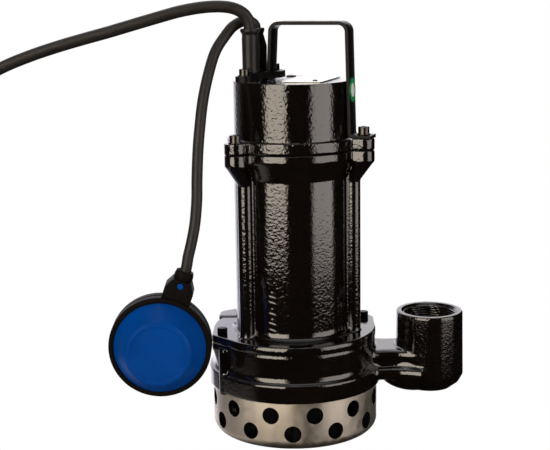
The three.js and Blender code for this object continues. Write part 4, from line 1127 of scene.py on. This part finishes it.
def float_shell(name, node, side):
    """One hollow half of the float, in front (1) or behind (-1), with a raised round face."""
    face, plateau, thickness = FLOAT["face"], FLOAT["plateau"], FLOAT["half_thickness"]
    band = FLOAT["half_band"] - 0.6
    wall = 2.2
    profile = rounded([
        (0, thickness - wall, 0), (plateau - 2, thickness - wall, 1), (face - wall, band, 1),
        (face - wall, 0.3, 0), (face, 0.3, 0), (face, band, 1.5), (plateau + 1.2, thickness - 1.6, 1),
        (plateau - 0.6, thickness - 0.2, 0.9), (plateau - 3, thickness - 0.2, 0.6),
        (plateau - 3.6, thickness - 0.9, 0.6), (0, thickness - 0.9, 0),
    ], closed=False, steps=6)
    obj = object_of(name, [turned(profile, 128)])
    place = FLOAT_CENTRE @ Matrix.Rotation(side * math.pi / 2, 4, "X")
    finish_piece(obj, FLOAT_BLUE, "float", [node], place=place)


def float_rim():
    radius, face, band = FLOAT["radius"], FLOAT["face"], FLOAT["half_band"]
    profile = rounded([
        (face + 0.02, -band, 0.3), (radius - 1, -band, 0.7), (radius, 1 - band, 0.8), (radius, -1.2, 0.3),
        (radius - 0.7, -0.5, 0.2), (radius - 0.7, 0.5, 0.2), (radius, 1.2, 0.3), (radius, band - 1, 0.8),
        (radius - 1, band, 0.7), (face + 0.02, band, 0.3),
    ], steps=4)
    obj = object_of("float_rim", [turned(profile, 128)])
    place = FLOAT_CENTRE @ QUARTER_TURN_X
    finish_piece(obj, FLOAT_BLACK, "float", ["float_rim_seal"], place=place)


def float_neck():
    """The block on the rim, hollowed where the rim goes in, with a hole for its pin."""
    half, half_depth, bottom, chamfer, top_half, top, pin_height = FLOAT_NECK.values()
    outline = rounded([
        (-half, bottom, 1), (half, bottom, 1), (half, chamfer, 3), (top_half, top, 2), (-top_half, top, 2),
        (-half, chamfer, 3),
    ])
    obj = object_of("float_neck_block", [placed(prism(outline, -half_depth, half_depth), QUARTER_TURN_X)])
    to_centre = Matrix.Translation((0, 0, -FLOAT["neck_length"])) @ QUARTER_TURN_X
    cut(obj, [placed(disc(FLOAT["radius"] + 0.3, -20, 20, sides=128), to_centre)])
    to_pin = Matrix.Translation((0, -half_depth + 4, pin_height)) @ QUARTER_TURN_X
    cut(obj, [placed(disc(2.9, 0, 8), to_pin)])
    bevel(obj, 1.1, 4)
    finish_piece(obj, FLOAT_BLACK, "float", ["float_neck"], place=FLOAT_PLACE)


def float_collar():
    """The ring where the cable goes into the neck."""
    bore = FLOAT_CABLE_RADIUS + 0.1
    profile = rounded([
        (bore, -6.2, 0), (8.2, -6.2, 0.4), (8.2, -2.5, 0.8), (7.3, 1.2, 0.8), (bore, 1.2, 0.3),
    ], steps=5)
    obj = object_of("float_collar_ring", [turned(profile, 48)])
    finish_piece(obj, FLOAT_BLACK, "float", ["float_collar"], place=FLOAT_PLACE)


def float_pin():
    """The blue pin in the neck's front."""
    profile = rounded([(0, -2.3, 0), (2.6, -2.3, 0.3), (2.6, 2.3, 0.8), (0, 2.3, 0)], closed=False, steps=5)
    obj = object_of("float_pin_head", [turned(profile, 40)])
    to_front = Matrix.Translation((0, 1.3 - FLOAT_NECK["half_depth"], FLOAT_NECK["pin"])) @ QUARTER_TURN_X
    finish_piece(obj, FLOAT_BLUE, "float", ["float_pin"], place=FLOAT_PLACE @ to_front)


# ---- Sticker ----


def sticker():
    """A round two-colour sticker with no mark, on the outside of the handle's right leg."""
    radius, stripe_radius, thickness, level = 9, 5.2, 0.25, 306
    rise = level - COVER["flange_top"]
    lean = math.atan2(HANDLE["right_foot"] - HANDLE["right_top"], HANDLE["top"] - COVER["flange_top"])
    along = HANDLE["right_foot"] - rise * math.tan(lean) + HANDLE["thickness"] / 2 + 0.05
    place = (
        TO_HANDLE_PLANE @ Matrix.Translation((along, 0, level)) @ Matrix.Rotation(-lean, 4, "Y")
        @ QUARTER_TURN_Y @ Matrix.Diagonal((1.15, 1, 1, 1))
    )
    profile = rounded([(0, 0, 0), (radius, 0, 0), (radius, thickness, 0.1), (0, thickness, 0)], closed=False)
    base = object_of("sticker_disc", [turned(profile, 64)])
    finish_piece(base, LABEL_GREEN, "pump_body", place=place)
    stripe = object_of("sticker_stripe", [disc(stripe_radius, thickness, thickness + 0.06)])
    finish_piece(stripe, LABEL_WHITE, "pump_body", place=place)


# ---- Build ----

plug()
power_cable()
float_cable()
coil_tie("coil_tie_1", 10)
coil_tie("coil_tie_2", 195)
motor_cover()
stator_housing()
volute_casing()
strainer_basket()
handle()
clamp_plate()
name_plate()
cover_stud()
gland("power", POWER_CABLE_RADIUS, shoulder=350, waist=6.9, lip=8.4)
gland("float", FLOAT_CABLE_RADIUS, shoulder=343, waist=7, lip=8)
for side, place in CLAMP_SCREWS.items():
    cap_screw(f"clamp_screw_{side}", place, CLAMP_PLATE["top"], head=(4.4, 5.2), shank=(2.5, 11))
for i, angle in enumerate(COVER_LUGS["angles"]):
    seat = COVER["flange_top"] + (HANDLE["thickness"] + 0.3 if i == 0 else 0)
    place = polar(angle, COVER_LUGS["distance"])
    cap_screw(f"cover_screw_{i + 1}", place, seat, head=(4.9, 6), shank=(3, 22))
for i, angle in enumerate(BASE_EARS["angles"]):
    hex_screw(f"casing_screw_{i + 1}", polar(angle, BASE_EARS["distance"]), BASE_FLANGE["top"])
oil_hole = polar(OIL_BOSS["angle"], OIL_BOSS["distance"])
cap_screw("oil_plug", oil_hole, OIL_BOSS["top"], head=(5.6, 0.5), shank=(4, 5.5))
float_shell("float_front_half", "float_front_shell", 1)
float_shell("float_rear_half", "float_rear_shell", -1)
float_rim()
float_neck()
float_collar()
float_pin()
sticker()

# ---- Camera, light and floor ----

# The angles, in degrees, the lens and the place that fit the photo.
CAMERA = {"pitch": 11.222, "roll": -0.836, "lens": 82.615, "place": (-16.256, -1103.95, 404.038)}


def camera():
    pitch, roll = math.radians(CAMERA["pitch"]), math.radians(CAMERA["roll"])
    forward = Vector((0, math.cos(pitch), -math.sin(pitch)))
    right, up = Vector((1, 0, 0)), Vector((0, math.sin(pitch), math.cos(pitch)))
    rolled_right = right * math.cos(roll) + up * math.sin(roll)
    rolled_up = up * math.cos(roll) - right * math.sin(roll)
    data = bpy.data.cameras.new("camera")
    data.sensor_width = 36
    data.lens = CAMERA["lens"]
    data.clip_end = 50
    obj = linked("camera", data)
    matrix = Matrix.Identity(4)
    for column, axis in enumerate((rolled_right, rolled_up, -forward)):
        for row in range(3):
            matrix[row][column] = axis[row]
    matrix.translation = Vector(CAMERA["place"]) * MM
    obj.matrix_world = matrix
    bpy.context.scene.camera = obj


class Sky(Graph):
    """The studio round the object: a white backdrop, a dark room in front and tall soft lights."""

    def __init__(self):
        world = bpy.data.worlds.new("studio")
        bpy.context.scene.world = world
        super().__init__(world)
        self.nodes.clear()
        direction = self.node("TexCoord").outputs["Generated"]
        away = self.math("MULTIPLY", self.axis(direction, "Y"), -1)
        azimuth = self.math("ARCTAN2", self.axis(direction, "X"), away)
        self.azimuth = self.math("MULTIPLY", azimuth, 180 / math.pi)
        elevation = self.math("ARCSINE", self.axis(direction, "Z"), 0)
        self.elevation = self.math("MULTIPLY", elevation, 180 / math.pi)

    def band(self, value, low, high, softness):
        """1 between two edges and 0 outside them."""
        edges = [self.remap(value, edge - softness, edge + softness, smooth=True) for edge in (low, high)]
        return self.math("SUBTRACT", *edges)

    def panel(self, azimuths, elevations, color, softness):
        """A soft light over a range of directions, in degrees. Azimuth 0 is the front, + the right."""
        across = self.band(self.azimuth, *azimuths, softness[0])
        upright = self.band(self.elevation, *elevations, softness[1])
        tint = self.node("VectorMath")
        tint.operation = "SCALE"
        tint.inputs[0].default_value = color
        self.feed(tint.inputs["Scale"], self.math("MULTIPLY", across, upright))
        return tint.outputs["Vector"]

    def finish(self, panels, ambient):
        """Adds the lights up. The camera sees plain white."""
        total = ambient
        for panel in panels:
            total = self.calculate("VectorMath", "ADD", total, panel)
        real, seen = self.node("Background", Color=total), self.node("Background", Color=(1, 1, 1, 1))
        output = self.node("OutputWorld")
        self.show_to_camera(real.outputs["Background"], seen.outputs["Background"], output)


def studio():
    sky = Sky()
    sky.finish([
        sky.panel((-53, -13), (-10.9, 46), (4.2, 3.7, 3.1), (3, 1)),
        sky.panel((38, 82), (-13.2, 40), (2.2, 2.0, 1.85), (5, 1.2)),
        sky.panel((-181, -145), (-30, 90), (1.4, 1.35, 1.5), (5, 6)),
        sky.panel((-181, -124), (-30, 60), (0.25, 0.23, 0.27), (12, 6)),
        sky.panel((160, 181), (-30, 90), (1.5, 1.45, 1.5), (4, 6)),
        sky.panel((-150, -58), (-50, -19), (0.4, 0.37, 0.35), (10, 1.5)),
        sky.panel((-181, 181), (62, 95), (0.7, 0.7, 0.7), (1, 8)),
    ], (0.006, 0.006, 0.006))
    view = bpy.context.scene.view_settings
    view.view_transform = "Standard"
    view.look = "None"
    view.exposure = 0
    view.gamma = 1


def floor():
    body = bmesh.new()
    bmesh.ops.create_grid(body, x_segments=1, y_segments=1, size=6)
    obj = object_of("floor", [body])
    material = bpy.data.materials.new("floor_white")
    graph = Graph(material)
    shader = graph.nodes["Principled BSDF"]
    shader.inputs["Base Color"].default_value = (0.8, 0.8, 0.8, 1)
    shader.inputs["Roughness"].default_value = 0.9
    white = graph.node("Emission", Strength=1)
    output = graph.nodes["Material Output"]
    graph.show_to_camera(shader.outputs["BSDF"], white.outputs["Emission"], output)
    obj.data.materials.append(material)
    obj.visible_glossy = False
    obj.location.z = -0.0005


camera()
studio()
floor()
